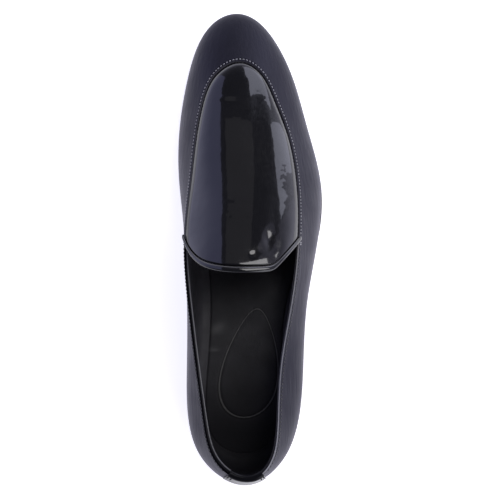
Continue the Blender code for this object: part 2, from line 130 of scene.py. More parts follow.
# Widest line of the upper and its height above the sole top
WIDEST_COLUMNS = ("share", "medial", "lateral", "rise_medial", "rise_lateral")
WIDEST_ROWS = (
    (0.0000, -4.2, -4.2, 18.0, 18.0),
    (0.0833, -20.2, 11.4, 17.0, 17.0),
    (0.1667, -33.8, 24.9, 16.0, 15.0),
    (0.2500, -39.6, 31.8, 16.0, 14.0),
    (0.3333, -39.8, 34.0, 19.0, 15.0),
    (0.4167, -39.6, 36.9, 22.0, 14.0),
    (0.5000, -41.4, 44.4, 19.0, 9.0),
    (0.5833, -47.0, 46.8, 9.0, 6.0),
    (0.6667, -47.1, 38.4, 6.5, 6.0),
    (0.7500, -42.1, 29.3, 6.0, 6.0),
    (0.8333, -34.6, 18.0, 5.5, 5.5),
    (0.9167, -23.3, 5.2, 5.0, 5.0),
    (1.0000, -8.8, -8.8, 5.0, 5.0),
)

# Rim of the wall: topline of the collar up to share 0.5, seam of the apron beyond it
RIM_COLUMNS = ("share", "y", "medial", "lateral", "medial_z", "lateral_z")
RIM_ROWS = (
    (0.0000, 10.3, -1.5, -1.5, 79.0, 79.0),
    (0.0833, 14.0, -13.6, 8.3, 78.0, 78.0),
    (0.1667, 26.6, -23.6, 15.2, 74.8, 74.4),
    (0.2500, 48.0, -28.3, 17.2, 70.0, 68.6),
    (0.3333, 77.0, -32.8, 19.4, 65.8, 63.2),
    (0.4167, 112.0, -37.4, 25.6, 64.2, 60.8),
    (0.5000, 148.5, -39.8, 29.6, 63.6, 60.6),
    (0.5833, 183.0, -37.5, 29.8, 51.5, 49.0),
    (0.6667, 213.0, -34.6, 25.4, 44.2, 41.8),
    (0.7500, 237.0, -30.5, 16.9, 40.2, 39.0),
    (0.8333, 252.2, -24.4, 10.0, 38.4, 38.0),
    (0.9167, 260.6, -15.6, 2.0, 37.6, 37.6),
    (1.0000, 263.4, -6.5, -6.5, 37.4, 37.4),
)

# Crown of the apron over its width squared, and how far the throat line runs back at its middle
APRON_COLUMNS = ("share", "crown", "bow")
APRON_ROWS = (
    (0.5000, 0.00415, 17.6),
    (0.5417, 0.00335, 11.0),
    (0.5833, 0.00290, 5.6),
    (0.6667, 0.00268, 0.8),
    (0.7500, 0.00285, 0.0),
    (0.8333, 0.00305, 0.0),
    (0.9167, 0.00320, 0.0),
    (1.0000, 0.00320, 0.0),
)

# Front edge of the heel tip across the heel: a brace with its point toward the back
BRACE_COLUMNS = ("x", "y")
BRACE_ROWS = (
    (-60.0, 52.0),
    (-42.0, 50.6),
    (-34.0, 48.8),
    (-26.0, 45.2),
    (-18.0, 38.4),
    (-13.0, 33.2),
    (-9.0, 31.6),
    (-5.0, 32.6),
    (2.0, 36.0),
    (10.0, 39.0),
    (20.0, 40.4),
    (30.0, 40.6),
    (50.0, 40.6),
)

# Soft troughs and ridges of the apron: middle, half lengths along and across, turn in degrees, height
APRON_CREASES = (
    (-3.0, 231.0, 26.0, 6.0, -8.0, -0.06),
    (-3.0, 221.0, 26.0, 13.0, -8.0, -0.04),
    (-15.5, 239.5, 5.5, 1.3, 4.0, 0.10),
    (-15.0, 236.5, 5.0, 1.3, -5.0, -0.10),
    (6.0, 143.0, 12.0, 3.4, 10.0, -0.20),
    (11.0, 149.5, 3.0, 5.0, 0.0, -0.62),
    (1.4, 140.6, 1.9, 1.6, 0.0, -0.27),
)

# Soft forms of the sock, written the same way: a short pleat and a fold beside the medial edge, and the
# hollow the heel rests in; and the strength of the highlight painted on the raised ones
SOCK_CREASES = (
    (-24.0, 78.4, 3.4, 0.8, 0.0, 0.30),
    (-22.0, 92.0, 5.0, 3.0, 30.0, 0.20),
    (-4.0, 34.0, 20.0, 24.0, 0.0, -0.60),
)
PLEAT_HIGHLIGHT = 0.7

# Oval pressed line on the sock: its place and form, then its groove and crest with the shade painted in the
# groove and the highlight painted on the crest, and how far from the line its distance is kept
OVAL_MIDDLE = (0.3, 69.5)
OVAL_HALF = (17.9, 35.0)
OVAL_LEAN = 0.123
OVAL_TAPER = 0.37
OVAL_DEPTH = 0.40
OVAL_WIDTH = 1.0
OVAL_RIDGE = 0.45
OVAL_GROOVE = (0.5, 1.5)
OVAL_SHADE = 0.85
OVAL_CREST = (0.2, 0.6)
OVAL_HIGHLIGHT = 0.26
OVAL_REACH = 6.0

# Plain ring moulded under the waist
RING_MIDDLE = (0.5, 94.6)
RING_RADIUS = 3.4
RING_HALF_WIDTH = 0.35
RING_RISE = 0.18
RING_STEPS = 96
RING_SIDES = 16


def spline(knots, values, flat):
    """Cubic spline through the rows; flat gives it level ends, otherwise they run straight on."""
    x = np.asarray(knots, float)
    y = np.asarray(values, float)
    h = np.diff(x)
    slope = np.diff(y) / h
    size = len(x)
    system = np.zeros((size, size))
    right = np.zeros(size)
    inner = np.arange(1, size - 1)
    system[inner, inner - 1] = h[:-1]
    system[inner, inner] = 2.0 * (h[:-1] + h[1:])
    system[inner, inner + 1] = h[1:]
    right[inner] = 6.0 * np.diff(slope)
    system[0, 0] = system[-1, -1] = 2.0
    if flat:
        system[0, 1] = system[-1, -2] = 1.0
        right[0] = 6.0 * slope[0] / h[0]
        right[-1] = -6.0 * slope[-1] / h[-1]
    bend = np.linalg.solve(system, right)

    def at(value):
        value = np.clip(value, x[0], x[-1])
        k = np.clip(np.searchsorted(x, value) - 1, 0, size - 2)
        a = x[k + 1] - value
        b = value - x[k]
        curve = (bend[k] * a**3 + bend[k + 1] * b**3) / (6.0 * h[k])
        line_a = (y[k] / h[k] - bend[k] * h[k] / 6.0) * a
        line_b = (y[k + 1] / h[k] - bend[k + 1] * h[k] / 6.0) * b
        return curve + line_a + line_b

    return at


def table(columns, rows, flat=()):
    """Functions of the first column, one for each other column."""
    data = np.array(rows, float)
    found = {}
    for place, name in enumerate(columns[1:], start=1):
        found[name] = spline(data[:, 0], data[:, place], name in flat)
    return found


SOLE = table(SOLE_COLUMNS, SOLE_ROWS, ("top_z",))
UNDER = table(UNDER_COLUMNS, UNDER_ROWS, ("bottom_z", "medial", "lateral", "round"))
WIDEST = table(WIDEST_COLUMNS, WIDEST_ROWS, ("rise_medial", "rise_lateral"))
RIM = table(RIM_COLUMNS, RIM_ROWS, ("y", "medial_z", "lateral_z"))
APRON = table(APRON_COLUMNS, APRON_ROWS, ("crown", "bow"))
BRACE = table(BRACE_COLUMNS, BRACE_ROWS)


def half_share(w):
    """Share along the shoe from heel to toe, and whether it is on the medial side."""
    w = np.mod(w, 2.0)
    return np.where(w <= 1.0, w, 2.0 - w), w <= 1.0


def side_value(source, u, medial, name_medial="medial", name_lateral="lateral"):
    return np.where(medial, source[name_medial](u), source[name_lateral](u))


def station(u, heel, toe):
    """Distance from heel to toe: half a cosine wave, so both ends come out round."""
    return heel + (toe - heel) * 0.5 * (1.0 - np.cos(np.pi * u))


def length_share(y):
    """Share for a distance from the heel, the other way round from station."""
    return np.arccos(np.clip(1.0 - 2.0 * y / LENGTH, -1.0, 1.0)) / np.pi


def top_z(y):
    return SOLE["top_z"](length_share(y))


def bottom_z(y):
    return np.maximum(UNDER["bottom_z"](length_share(y)), 0.0)


def sole_line(w):
    u, medial = half_share(w)
    return np.stack([side_value(SOLE, u, medial), station(u, SOLE_HEEL_TUCK, LENGTH)], axis=-1)


def inset_line(line, w, distance):
    """A plan line moved inward by a distance square to itself."""
    along = line(w + SHARE_STEP) - line(w - SHARE_STEP)
    along /= np.linalg.norm(along, axis=-1, keepdims=True)
    inward = np.stack([along[..., 1], -along[..., 0]], axis=-1)
    return line(w) + inward * np.broadcast_to(distance, np.shape(w))[..., None]


def feather(w):
    """Foot of the upper on the sole."""
    plan = inset_line(sole_line, w, FEATHER_INSET)
    heel_pull = np.exp(-((plan[..., 1] / HEEL_TUCK_RUN) ** 2)) * (HEEL_TUCK - SOLE_HEEL_TUCK)
    y = plan[..., 1] + heel_pull
    return np.stack([plan[..., 0], y, top_z(y) + FOOT_GAP], axis=-1)


def feather_plan(w):
    return feather(w)[..., :2]


def widest(w):
    u, medial = half_share(w)
    y = station(u, 0.0, LENGTH - TOE_TUCK)
    rise = side_value(WIDEST, u, medial, "rise_medial", "rise_lateral")
    return np.stack([side_value(WIDEST, u, medial), y, top_z(y) + rise], axis=-1)


def rim(w):
    u, medial = half_share(w)
    z = side_value(RIM, u, medial, "medial_z", "lateral_z")
    return np.stack([side_value(RIM, u, medial), RIM["y"](u), z], axis=-1)


def wall(w, t):
    """Outer face of the wall: a parabola out from foot to widest line, then a Bezier over to the rim."""
    w, t = np.broadcast_arrays(w, t)
    foot = feather(w)
    wide = widest(w)
    top = rim(w)
    low = np.minimum(t / LOW_SHARE, 1.0)[..., None]
    spread = np.concatenate([np.repeat(1.0 - (1.0 - low) ** 2, 2, axis=-1), low], axis=-1)
    lower = foot + (wide - foot) * spread
    reach = top - wide
    handle_a = wide + reach * np.array([0.0, 0.0, RISE_HANDLE])
    handle_b = top - reach * np.array([1.0, 1.0, RIM_TURN]) * RIM_HANDLE
    b = np.maximum((t - LOW_SHARE) / (1.0 - LOW_SHARE), 0.0)[..., None]
    a = 1.0 - b
    upper = a**3 * wide + 3.0 * a * a * b * handle_a + 3.0 * a * b * b * handle_b + b**3 * top
    return np.where((t < LOW_SHARE)[..., None], lower, upper)


def past_corner(e):
    """Way past the throat's lateral corner: none before it, straight after it, rounded as a hyperbola."""
    past = e - BOW_CORNER
    return past + np.sqrt(past**2 + BOW_ROUND**2)


def bow_shape(e):
    """Throat line across, from -1 to 1: round on the medial side, level and then straight on the lateral."""
    medial = 1.0 - (1.0 - BOW_FULL) * e**2 - BOW_FULL * e**6
    start, end = past_corner(0.0), past_corner(1.0)
    lateral = 1.0 - (past_corner(e) - start) / (end - start)
    return np.where(e < 0.0, medial, lateral)


def apron(u, r):
    """Face of the vamp top: lines across from the medial to the lateral seam, crowned up and bowed back."""
    u, r = np.broadcast_arrays(u, r)
    left = rim(u)
    right = rim(2.0 - u)
    across = left + (right - left) * r[..., None]
    width = right[..., 0] - left[..., 0]
    e = 2.0 * r - 1.0
    crown = APRON["crown"](u) * width**2 * (1.0 - (1.0 - CROWN_FULL) * e**2 - CROWN_FULL * e**4)
    bow = APRON["bow"](u) * bow_shape(e)
    return across + np.stack([np.zeros_like(bow), -bow, crown], axis=-1)


def unit(vectors):
    return vectors / np.linalg.norm(vectors, axis=-1, keepdims=True)


def outward(surface, a, b):
    """Unit normal of a surface of two parameters, out of the shoe."""
    da = surface(a + SHARE_STEP, b) - surface(a - SHARE_STEP, b)
    db = surface(a, b + SHARE_STEP) - surface(a, b - SHARE_STEP)
    return unit(np.cross(db, da))


def inside_share(t):
    return np.clip(t, 2.0 * SHARE_STEP, 1.0 - 2.0 * SHARE_STEP)


def wall_out(w, t):
    return outward(wall, w, inside_share(t))


def wall_up(w, t):
    """Unit direction up along the wall."""
    t = inside_share(t)
    return unit(wall(w, t + SHARE_STEP) - wall(w, t - SHARE_STEP))


def apron_out(u, r):
    return outward(apron, np.clip(u, 0.0, NORMAL_FRONT), r)


def rim_speed(w):
    """Millimetres of wall for one unit of its height share, at the rim."""
    ones = np.ones(np.shape(w))
    return np.linalg.norm(wall(w, ones) - wall(w, ones - SHARE_STEP), axis=-1) / SHARE_STEP


def throat_share(r, distance):
    """Share along the apron that lies a distance forward of the throat line."""
    start = np.full(np.shape(r), THROAT)
    along = (apron(start + SHARE_STEP, r) - apron(start, r)) / SHARE_STEP
    return THROAT + distance / np.linalg.norm(along, axis=-1)


def bump_sum(x, y, rows):
    """Sum of turned Gaussian troughs and ridges."""
    total = np.zeros(np.shape(x))
    for mid_x, mid_y, along, across, turn, height in rows:
        angle = math.radians(turn)
        dx, dy = x - mid_x, y - mid_y
        a = (dx * math.cos(angle) + dy * math.sin(angle)) / along
        b = (dy * math.cos(angle) - dx * math.sin(angle)) / across
        total += height * np.exp(-(a * a) - b * b)
    return total


def path_length(points):
    """Length along a row of points, from its first."""
    steps = np.linalg.norm(np.diff(points, axis=0), axis=-1)
    return np.concatenate([[0.0], np.cumsum(steps)])


def even_shares(line, start, end, pitch):
    """Shares along a line at even distances."""
    w = np.linspace(start, end, ROW_POINTS)
    run = path_length(line(w))
    count = int(run[-1] // pitch)
    margin = 0.5 * (run[-1] - count * pitch)
    return np.interp(margin + pitch * (np.arange(count) + 0.5), run, w)


def frame_shift():
    """How far the tables' origin lies from the frame's, from the CAD boxes of the sole and the upper."""
    plan = sole_line(np.linspace(0.0, 2.0, LOOP_POINTS))
    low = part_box("outsole")[0]
    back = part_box("upper")[0]
    return np.array([low.x / MM - plan[:, 0].min(), back.y / MM, 0.0])


SHIFT = frame_shift()


def settings():
    return bpy.context.scene.shoe


def grid_quads(rows, columns, wrap_rows=False, wrap_columns=False):
    """Quads of a grid of points, wrapped round where it is closed."""
    i = np.arange(rows if wrap_rows else rows - 1)
    j = np.arange(columns if wrap_columns else columns - 1)
    a, b = np.meshgrid(i, j, indexing="ij")
    c, d = (a + 1) % rows, (b + 1) % columns
    corners = (a * columns + b, c * columns + b, c * columns + d, a * columns + d)
    return np.stack(corners, axis=-1).reshape(-1, 4)


def sheet_quads(rows, columns):
    """Quads of two grids, the second under the first, joined round their edge."""
    top = grid_quads(rows, columns)
    count = rows * columns
    number = np.arange(count).reshape(rows, columns)
    edge = np.concatenate([number[0], number[1:, -1], number[-1, -2::-1], number[-2:0:-1, 0]])
    after = np.roll(edge, -1)
    band = np.stack([edge, after, after + count, edge + count], axis=-1)
    return np.concatenate([top, top[:, ::-1] + count, band])


def lid_faces(ring):
    """Strips straight across a ring of points numbered heel, medial, toe, lateral."""
    half = len(ring) // 2
    near = ring[1:half]
    far = ring[:half:-1]
    strips = np.stack([near[:-1], near[1:], far[1:], far[:-1]], axis=-1)
    ends = [[ring[0], near[0], far[0]], [near[-1], ring[half], far[-1]]]
    return strips.tolist() + ends


def make_piece(name, points, faces, finish, replaced=(), sharp=None, notes=None):
    """A mesh piece in the frame from points in millimetres, riding on the shoe.

    Sharp is the angle in degrees from which an edge shows, and notes are values at the points
    that its finish reads.
    """
    mesh = bpy.data.meshes.new(name)
    places = (np.asarray(points).reshape(-1, 3) + SHIFT) * MM
    mesh.from_pydata(places, [], faces)
    for key, values in (notes or {}).items():
        layer = mesh.attributes.new(key, "FLOAT", "POINT")
        layer.data.foreach_set("value", np.asarray(values, np.float32).ravel())
    shape = bmesh.new()
    shape.from_mesh(mesh)
    bmesh.ops.remove_doubles(shape, verts=shape.verts, dist=WELD)
    bmesh.ops.recalc_face_normals(shape, faces=shape.faces)
    shape.to_mesh(mesh)
    shape.free()
    mesh.shade_smooth()
    if sharp is not None:
        mesh.set_sharp_from_angle(angle=math.radians(sharp))
    mesh.materials.append(finish_of(finish))
    piece = bpy.data.objects.new(name, mesh)
    bpy.context.scene.collection.objects.link(piece)
    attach(piece, BODY)
    if replaced:
        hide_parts(*replaced)
    return piece


def loop_shares(count):
    """Even shares once round the shoe."""
    return 2.0 * np.arange(count) / count


def turns(count):
    """Even angles once round a circle."""
    return math.pi * loop_shares(count)


# Range of a noise that holds most of its values
NOISE_LOW = 0.3
NOISE_HIGH = 0.7


class Finish:
    """Short calls that fill one material's node tree."""

    def __init__(self, name):
        self.material = bpy.data.materials.new(name)
        self.material.use_nodes = True
        self.tree = self.material.node_tree
        self.shader = self.tree.nodes["Principled BSDF"]
        self.object = self.add("ShaderNodeTexCoord").outputs["Object"]

    def feed(self, socket, value):
        """Links another node's socket, or sets a plain value."""
        if isinstance(value, bpy.types.NodeSocket):
            self.tree.links.new(value, socket)
        else:
            socket.default_value = value

    def add(self, kind, inputs=None, **options):
        """A node with its options set and its inputs fed."""
        node = self.tree.nodes.new(kind)
        for key, value in options.items():
            setattr(node, key, value)
        for key, value in (inputs or {}).items():
            self.feed(node.inputs[key], value)
        return node

    def set(self, **values):
        """Sets sockets of the shader, their names written with underscores."""
        for key, value in values.items():
            self.feed(self.shader.inputs[key.replace("_", " ").title().replace("Ior", "IOR")], value)

    def calc(self, operation, a, b=0.0):
        """One step of arithmetic."""
        return self.add("ShaderNodeMath", {0: a, 1: b}, operation=operation).outputs[0]

    def note(self, name):
        """A value kept on the mesh's points, nought where the piece has none of that name."""
        return self.add("ShaderNodeAttribute", attribute_name=name).outputs["Fac"]

    def noise(self, scale, detail=3.0, stretch=(1.0, 1.0, 1.0), turn=(0.0, 0.0, 0.0)):
        place = self.add("ShaderNodeMapping", {"Vector": self.object, "Scale": stretch, "Rotation": turn})
        options = {"Vector": place.outputs[0], "Scale": scale, "Detail": detail}
        return self.add("ShaderNodeTexNoise", options).outputs["Fac"]

    def mottle(self, scale, detail=3.0, start=0.0, end=1.0):
        """Noise with most of its values spread from start to end."""
        return self.span(self.noise(scale, detail), NOISE_LOW, NOISE_HIGH, start, end)

    def drift(self, colour, spread, scale, detail=3.0):
        """A colour that drifts by a share to either side, darker and lighter."""
        return self.blend(self.mottle(scale, detail), tone(colour, 1.0 - spread), tone(colour, 1.0 + spread))

    def cells(self, scale):
        options = {"Vector": self.object, "Scale": scale}
        return self.add("ShaderNodeTexVoronoi", options, feature="SMOOTH_F1").outputs["Distance"]

    def span(self, value, low, high, start, end):
        """Value moved from one range to another and kept in it."""
        options = {"Value": value, "From Min": low, "From Max": high, "To Min": start, "To Max": end}
        return self.add("ShaderNodeMapRange", options).outputs["Result"]

    def blend(self, share, first, second):
        node = self.add("ShaderNodeMix", data_type="RGBA")
        self.feed(node.inputs["Factor"], share)
        self.feed(node.inputs["A"], first)
        self.feed(node.inputs["B"], second)
        return node.outputs["Result"]

    def bump(self, height, distance, strength=1.0, below=None):
        """Normal of a height that a distance in metres scales, on top of the bump below it."""
        options = {"Height": height, "Distance": distance, "Strength": strength}
        if below is not None:
            options["Normal"] = below
        return self.add("ShaderNodeBump", options).outputs["Normal"]


def tone(colour, factor):
    """A colour made lighter or darker, with full opacity."""
    return (colour[0] * factor, colour[1] * factor, colour[2] * factor, 1.0)


def puckers(finish, reach):
    """Height wave along a seam at the stitch pitch: a sine that dies away from the seam."""
    pitch = settings().sizes.stitch_pitch / MM
    turn = finish.calc("MULTIPLY", finish.note("seam_run"), 2.0 * math.pi / pitch)
    fade = finish.calc("EXPONENT", finish.calc("DIVIDE", finish.note("seam_gap"), -reach))
    return finish.calc("MULTIPLY", finish.calc("SINE", turn), fade)


# Tone of the highlight painted on folds, crests and pleats, and the shares of a colour left where shade is
# painted: in the stitch row, deep in the heel and in the oval's groove
HIGHLIGHT_TONE = (0.360, 0.358, 0.358, 1.0)
ROW_SHADE_TONE = 0.2
HEEL_SHADE_TONE = 0.5
OVAL_SHADE_TONE = 0.1

# Scales that draw a noise out along the shoe, from the most to the least, and across it
DRAWN_MOST = (1.0, 0.12, 1.0)
DRAWN_MORE = (1.0, 0.35, 1.0)
DRAWN_LEAST = (1.0, 0.6, 1.0)
DRAWN_ACROSS = (0.3, 1.0, 1.0)

# How far the puckers beside the stitches reach, in millimetres, and their height in metres
CALF_PUCKER = 2.0
PATENT_PUCKER = 0.9
PUCKER_HEIGHT = 0.00005


def calf_leather(name):
    """Smooth calf: fine pores, grain drawn along the shoe, a painted highlight on folded edges, and painted
    shade in the stitch row, where its reflection is turned down too.
    """
    colour = settings().colours.leather
    finish = Finish(name)
    body = finish.drift(colour, 0.16, scale=26.0, detail=4.0)
    # Painted highlight: the colour made pale along the top of the folded edge, where light catches it
    folded = finish.blend(finish.note("painted_highlight"), body, HIGHLIGHT_TONE)
    # Painted shade: the colour made dark in the stitch row and the gap below the edge, where shade falls
    shade = finish.note("painted_shade")
    finish.set(base_color=finish.blend(shade, folded, tone(colour, ROW_SHADE_TONE)))
    finish.set(roughness=finish.mottle(60.0, start=0.44, end=0.54))
    # The painted shade in the row also turns down the reflection and the sheen
    finish.set(specular_ior_level=finish.span(shade, 0.0, 1.0, 0.29, 0.02))
    finish.set(specular_tint=(0.78, 0.76, 1.0, 1.0))
    finish.set(sheen_weight=finish.span(shade, 0.0, 1.0, 0.10, 0.0), sheen_roughness=0.4)
    finish.set(sheen_tint=(0.66, 0.60, 1.0, 1.0))
    pulled = finish.bump(finish.noise(420.0, stretch=DRAWN_MOST), 0.0005, 0.5)
    sewn = finish.bump(puckers(finish, CALF_PUCKER), PUCKER_HEIGHT, 0.7, pulled)
    drawn = finish.bump(finish.noise(240.0, 4.0, DRAWN_MORE), 0.00010, 0.45, sewn)
    finish.set(normal=finish.bump(finish.cells(1900.0), 0.00006, 0.40, drawn))
    return finish.material


def patent_leather(name, factor, gloss):
    """Lacquered black leather: a mirror coat over slow waves, puckered beside the stitches."""
    colour = tone(settings().colours.patent, factor)
    finish = Finish(name)
    finish.set(base_color=finish.drift(colour, 0.2, scale=35.0))
    finish.set(roughness=finish.mottle(420.0, 2.0, 0.10, 0.16))
    finish.set(specular_ior_level=0.30 * gloss, coat_weight=gloss, coat_roughness=0.018, coat_ior=1.5)
    slow = finish.bump(finish.noise(46.0, 2.0), 0.0012, 0.12)
    across = finish.bump(finish.noise(80.0, 2.0, DRAWN_ACROSS), 0.0008, 0.10, slow)
    quick = finish.bump(finish.noise(150.0, 2.0, DRAWN_LEAST), 0.00016, 0.45, across)
    normal = finish.bump(puckers(finish, PATENT_PUCKER), PUCKER_HEIGHT, 1.0, quick)
    finish.set(normal=normal, coat_normal=normal)
    return finish.material


# Painted shade deep in the heel: where along the shoe it is full and where it ends, in metres, and its
# strength
HEEL_SHADE_BACK = -0.125
HEEL_SHADE_FRONT = -0.090
HEEL_SHADE_FULL = 0.9


def lining_leather(name, factor, pressed):
    """Dull black lining: close pores, painted shade deep in the heel, a painted highlight on its fold,
    pressed with the oval or not; the oval has painted shade in its groove and a painted highlight on its
    crest.
    """
    colour = settings().colours.lining
    finish = Finish(name)
    body = finish.drift(tone(colour, factor), 0.25, scale=55.0, detail=4.0)
    # Painted shade: the lining darkened toward the back of the heel, where the shoe's own walls shade it
    place = finish.add("ShaderNodeSeparateXYZ", {"Vector": finish.object})
    heel_shade = finish.span(place.outputs["Y"], HEEL_SHADE_BACK, HEEL_SHADE_FRONT, HEEL_SHADE_FULL, 0.0)
    body = finish.blend(heel_shade, body, tone(colour, HEEL_SHADE_TONE))
    if pressed:
        # Painted shade in the oval's groove and a painted highlight on its crest
        away = finish.calc("ABSOLUTE", finish.note("oval_gap"))
        groove = finish.span(away, *OVAL_GROOVE, OVAL_SHADE, 0.0)
        body = finish.blend(groove, body, tone(colour, OVAL_SHADE_TONE))
        body = finish.blend(finish.span(away, *OVAL_CREST, OVAL_HIGHLIGHT, 0.0), body, HIGHLIGHT_TONE)
    # Painted highlight on the lining's fold and on the sock's raised pleats
    finish.set(base_color=finish.blend(finish.note("painted_highlight"), body, HIGHLIGHT_TONE))
    finish.set(roughness=finish.mottle(90.0, start=0.48, end=0.62))
    # The painted shade in the heel also turns its reflection down
    finish.set(specular_ior_level=finish.span(heel_shade, 0.0, HEEL_SHADE_FULL, 0.35, 0.05))
    drawn = finish.bump(finish.noise(320.0, 4.0), 0.00012, 0.5)
    finish.set(normal=finish.bump(finish.cells(1500.0), 0.00008, 0.5, drawn))
    return finish.material


# Pale rubs on the rubber: the run and turn of their streaks, how much of the noise shows, and how pale
RUB_STRETCH = (0.35, 1.0, 1.0)
RUB_TURN = (0.0, 0.0, 0.5)
RUB_SPAN = (0.70, 0.80)
RUB_SHARE = 0.35
RUB_PALE = 3.0


def moulded_rubber(name, factor, roughness):
    """Satin moulded rubber: fine spark texture, a few pale rubs where it has touched the ground."""
    colour = settings().colours.sole
    finish = Finish(name)
    body = finish.drift(tone(colour, factor), 0.15, scale=22.0, detail=4.0)
    streak = finish.noise(70.0, stretch=RUB_STRETCH, turn=RUB_TURN)
    rub = finish.span(streak, *RUB_SPAN, 0.0, RUB_SHARE)
    finish.set(base_color=finish.blend(rub, body, tone(colour, RUB_PALE)))
    finish.set(roughness=finish.mottle(120.0, start=roughness - 0.05, end=roughness + 0.06))
    finish.set(normal=finish.bump(finish.noise(1400.0, 3.0), 0.00007, 0.5))
    return finish.material


def sewing_thread(name, factor, shine):
    """Waxed thread: plied strands across each stitch."""
    colour = tone(settings().colours.thread, factor)
    finish = Finish(name)
    ply = finish.noise(2600.0, 2.0, DRAWN_LEAST)
    share = finish.span(ply, 0.35, 0.65, 0.0, 1.0)
    finish.set(base_color=finish.blend(share, tone(colour, 0.6), tone(colour, 1.4)))
    finish.set(roughness=0.48, specular_ior_level=shine, sheen_weight=0.4 * shine)
    finish.set(normal=finish.bump(ply, 0.00008, 0.6))
    return finish.material


# Every finish: its maker and what the maker is told
FINISHES = {
    "calf": (calf_leather,),
    "patent": (patent_leather, 1.0, 1.0),
    "tab_patent": (patent_leather, 1.6, 0.16),
    "lining": (lining_leather, 1.0, False),
    "sock": (lining_leather, 0.62, True),
    "rubber": (moulded_rubber, 1.0, 0.36),
    "tip": (moulded_rubber, 0.9, 0.44),
    "thread": (sewing_thread, 1.0, 0.5),
    "dark_thread": (sewing_thread, 0.10, 0.5),
    "tack_thread": (sewing_thread, 0.06, 0.02),
}


def finish_of(name):
    """The material of that name, made when it is first asked for."""
    maker, *told = FINISHES[name]
    return bpy.data.materials.get(name) or maker(name, *told)


# Counts of points round, up and across the pieces
UPPER_COLUMNS = 720
BODY_ROWS = 30
EDGE_ROWS = 22
INNER_ROWS = 9
ROUND_ROWS = 7
APRON_LINES = 170
APRON_ACROSS = 130
SOLE_LOOP = 640
UNDER_STEPS = 12
SOCK_LINES = 260
SOCK_ACROSS = 150

# Edges of the upper: how far below the rim the fine rows start, its bead, its stitch groove, and how far and
# how steeply the shade painted in its row and the highlight painted on its fold fade
EDGE_RUN = 6.0
BEAD_MIDDLE = 0.85
BEAD_WIDTH = 0.7
GROOVE_WIDTH = 0.45
ROW_REACH = 0.7
ROW_FADE = 2.5
HIGHLIGHT_REACH = 0.5
HIGHLIGHT_FADE = 2.0

# Edge round the shoe from the heel: medial collar, vamp seam, lateral collar and back to the heel.
# Rise of its bead, depth of its groove, strength of the highlight painted on its fold, strength and middle
# of the shade painted in its row, and strength of the highlight painted on the lining's fold behind it.
EDGE_COLUMNS = ("share", "bead", "groove", "pale", "shade", "middle", "lining")
EDGE_STEPS = (
    (0.00, 0.00, 0.10, 0.00, 1.0, 0.25, 0.20),
    (0.08, 0.00, 0.10, 0.00, 1.0, 0.25, 0.45),
    (0.35, 0.00, 0.10, 0.00, 1.0, 0.25, 0.50),
    (0.49, 0.00, 0.10, 0.00, 1.0, 0.25, 0.20),
    (0.51, 0.16, 0.26, 0.14, 0.7, 1.70, 0.00),
    (1.49, 0.16, 0.26, 0.14, 0.7, 1.70, 0.00),
    (1.51, 0.06, 0.06, 1.00, 0.0, 1.70, 0.02),
    (1.92, 0.06, 0.06, 1.00, 0.0, 1.70, 0.02),
    (1.94, 0.00, 0.10, 0.00, 1.0, 0.25, 0.12),
    (2.00, 0.00, 0.10, 0.00, 1.0, 0.25, 0.20),
)


def edge_value(name, w):
    """Value of the edge at a share: straight between the steps."""
    steps = np.array(EDGE_STEPS)
    return np.interp(np.mod(w, 2.0), steps[:, 0], steps[:, EDGE_COLUMNS.index(name)])


def edge_relief(w, gap):
    """Bead along the folded edge and the pressed groove of its stitch row, by distance from the rim."""
    inset = settings().sizes.stitch_inset / MM
    bead = edge_value("bead", w) * np.exp(-(((gap - BEAD_MIDDLE) / BEAD_WIDTH) ** 2))
    groove = edge_value("groove", w) * np.exp(-(((gap - inset) / GROOVE_WIDTH) ** 2))
    return bead - groove


def edge_notes(w, gap):
    """Strength of the painted highlight on the folded edge and of the painted shade in the row beside it, by
    distance from the rim.
    """
    # Painted highlight on the fold and painted shade in the row, kept as strengths on the points
    pale = edge_value("pale", w) * np.clip(HIGHLIGHT_FADE * (1.0 - gap / HIGHLIGHT_REACH), 0.0, 1.0)
    away = np.abs(gap - edge_value("middle", w)) / ROW_REACH
    shade = edge_value("shade", w) * np.clip(ROW_FADE * (1.0 - away), 0.0, 1.0)
    return {"painted_highlight": pale, "painted_shade": shade}


def rim_round(w, centre_gap, depth, radius, angles):
    """Half round over an edge: a circle of that radius about a line below the rim, at a depth in the wall."""
    t = 1.0 - centre_gap / rim_speed(w)
    out = wall_out(w, t)
    up = wall_up(w, t)
    middle = wall(w, t) - depth * out
    turn = np.asarray(angles)[:, None, None]
    return middle + radius * (np.cos(turn) * out + np.sin(turn) * up)


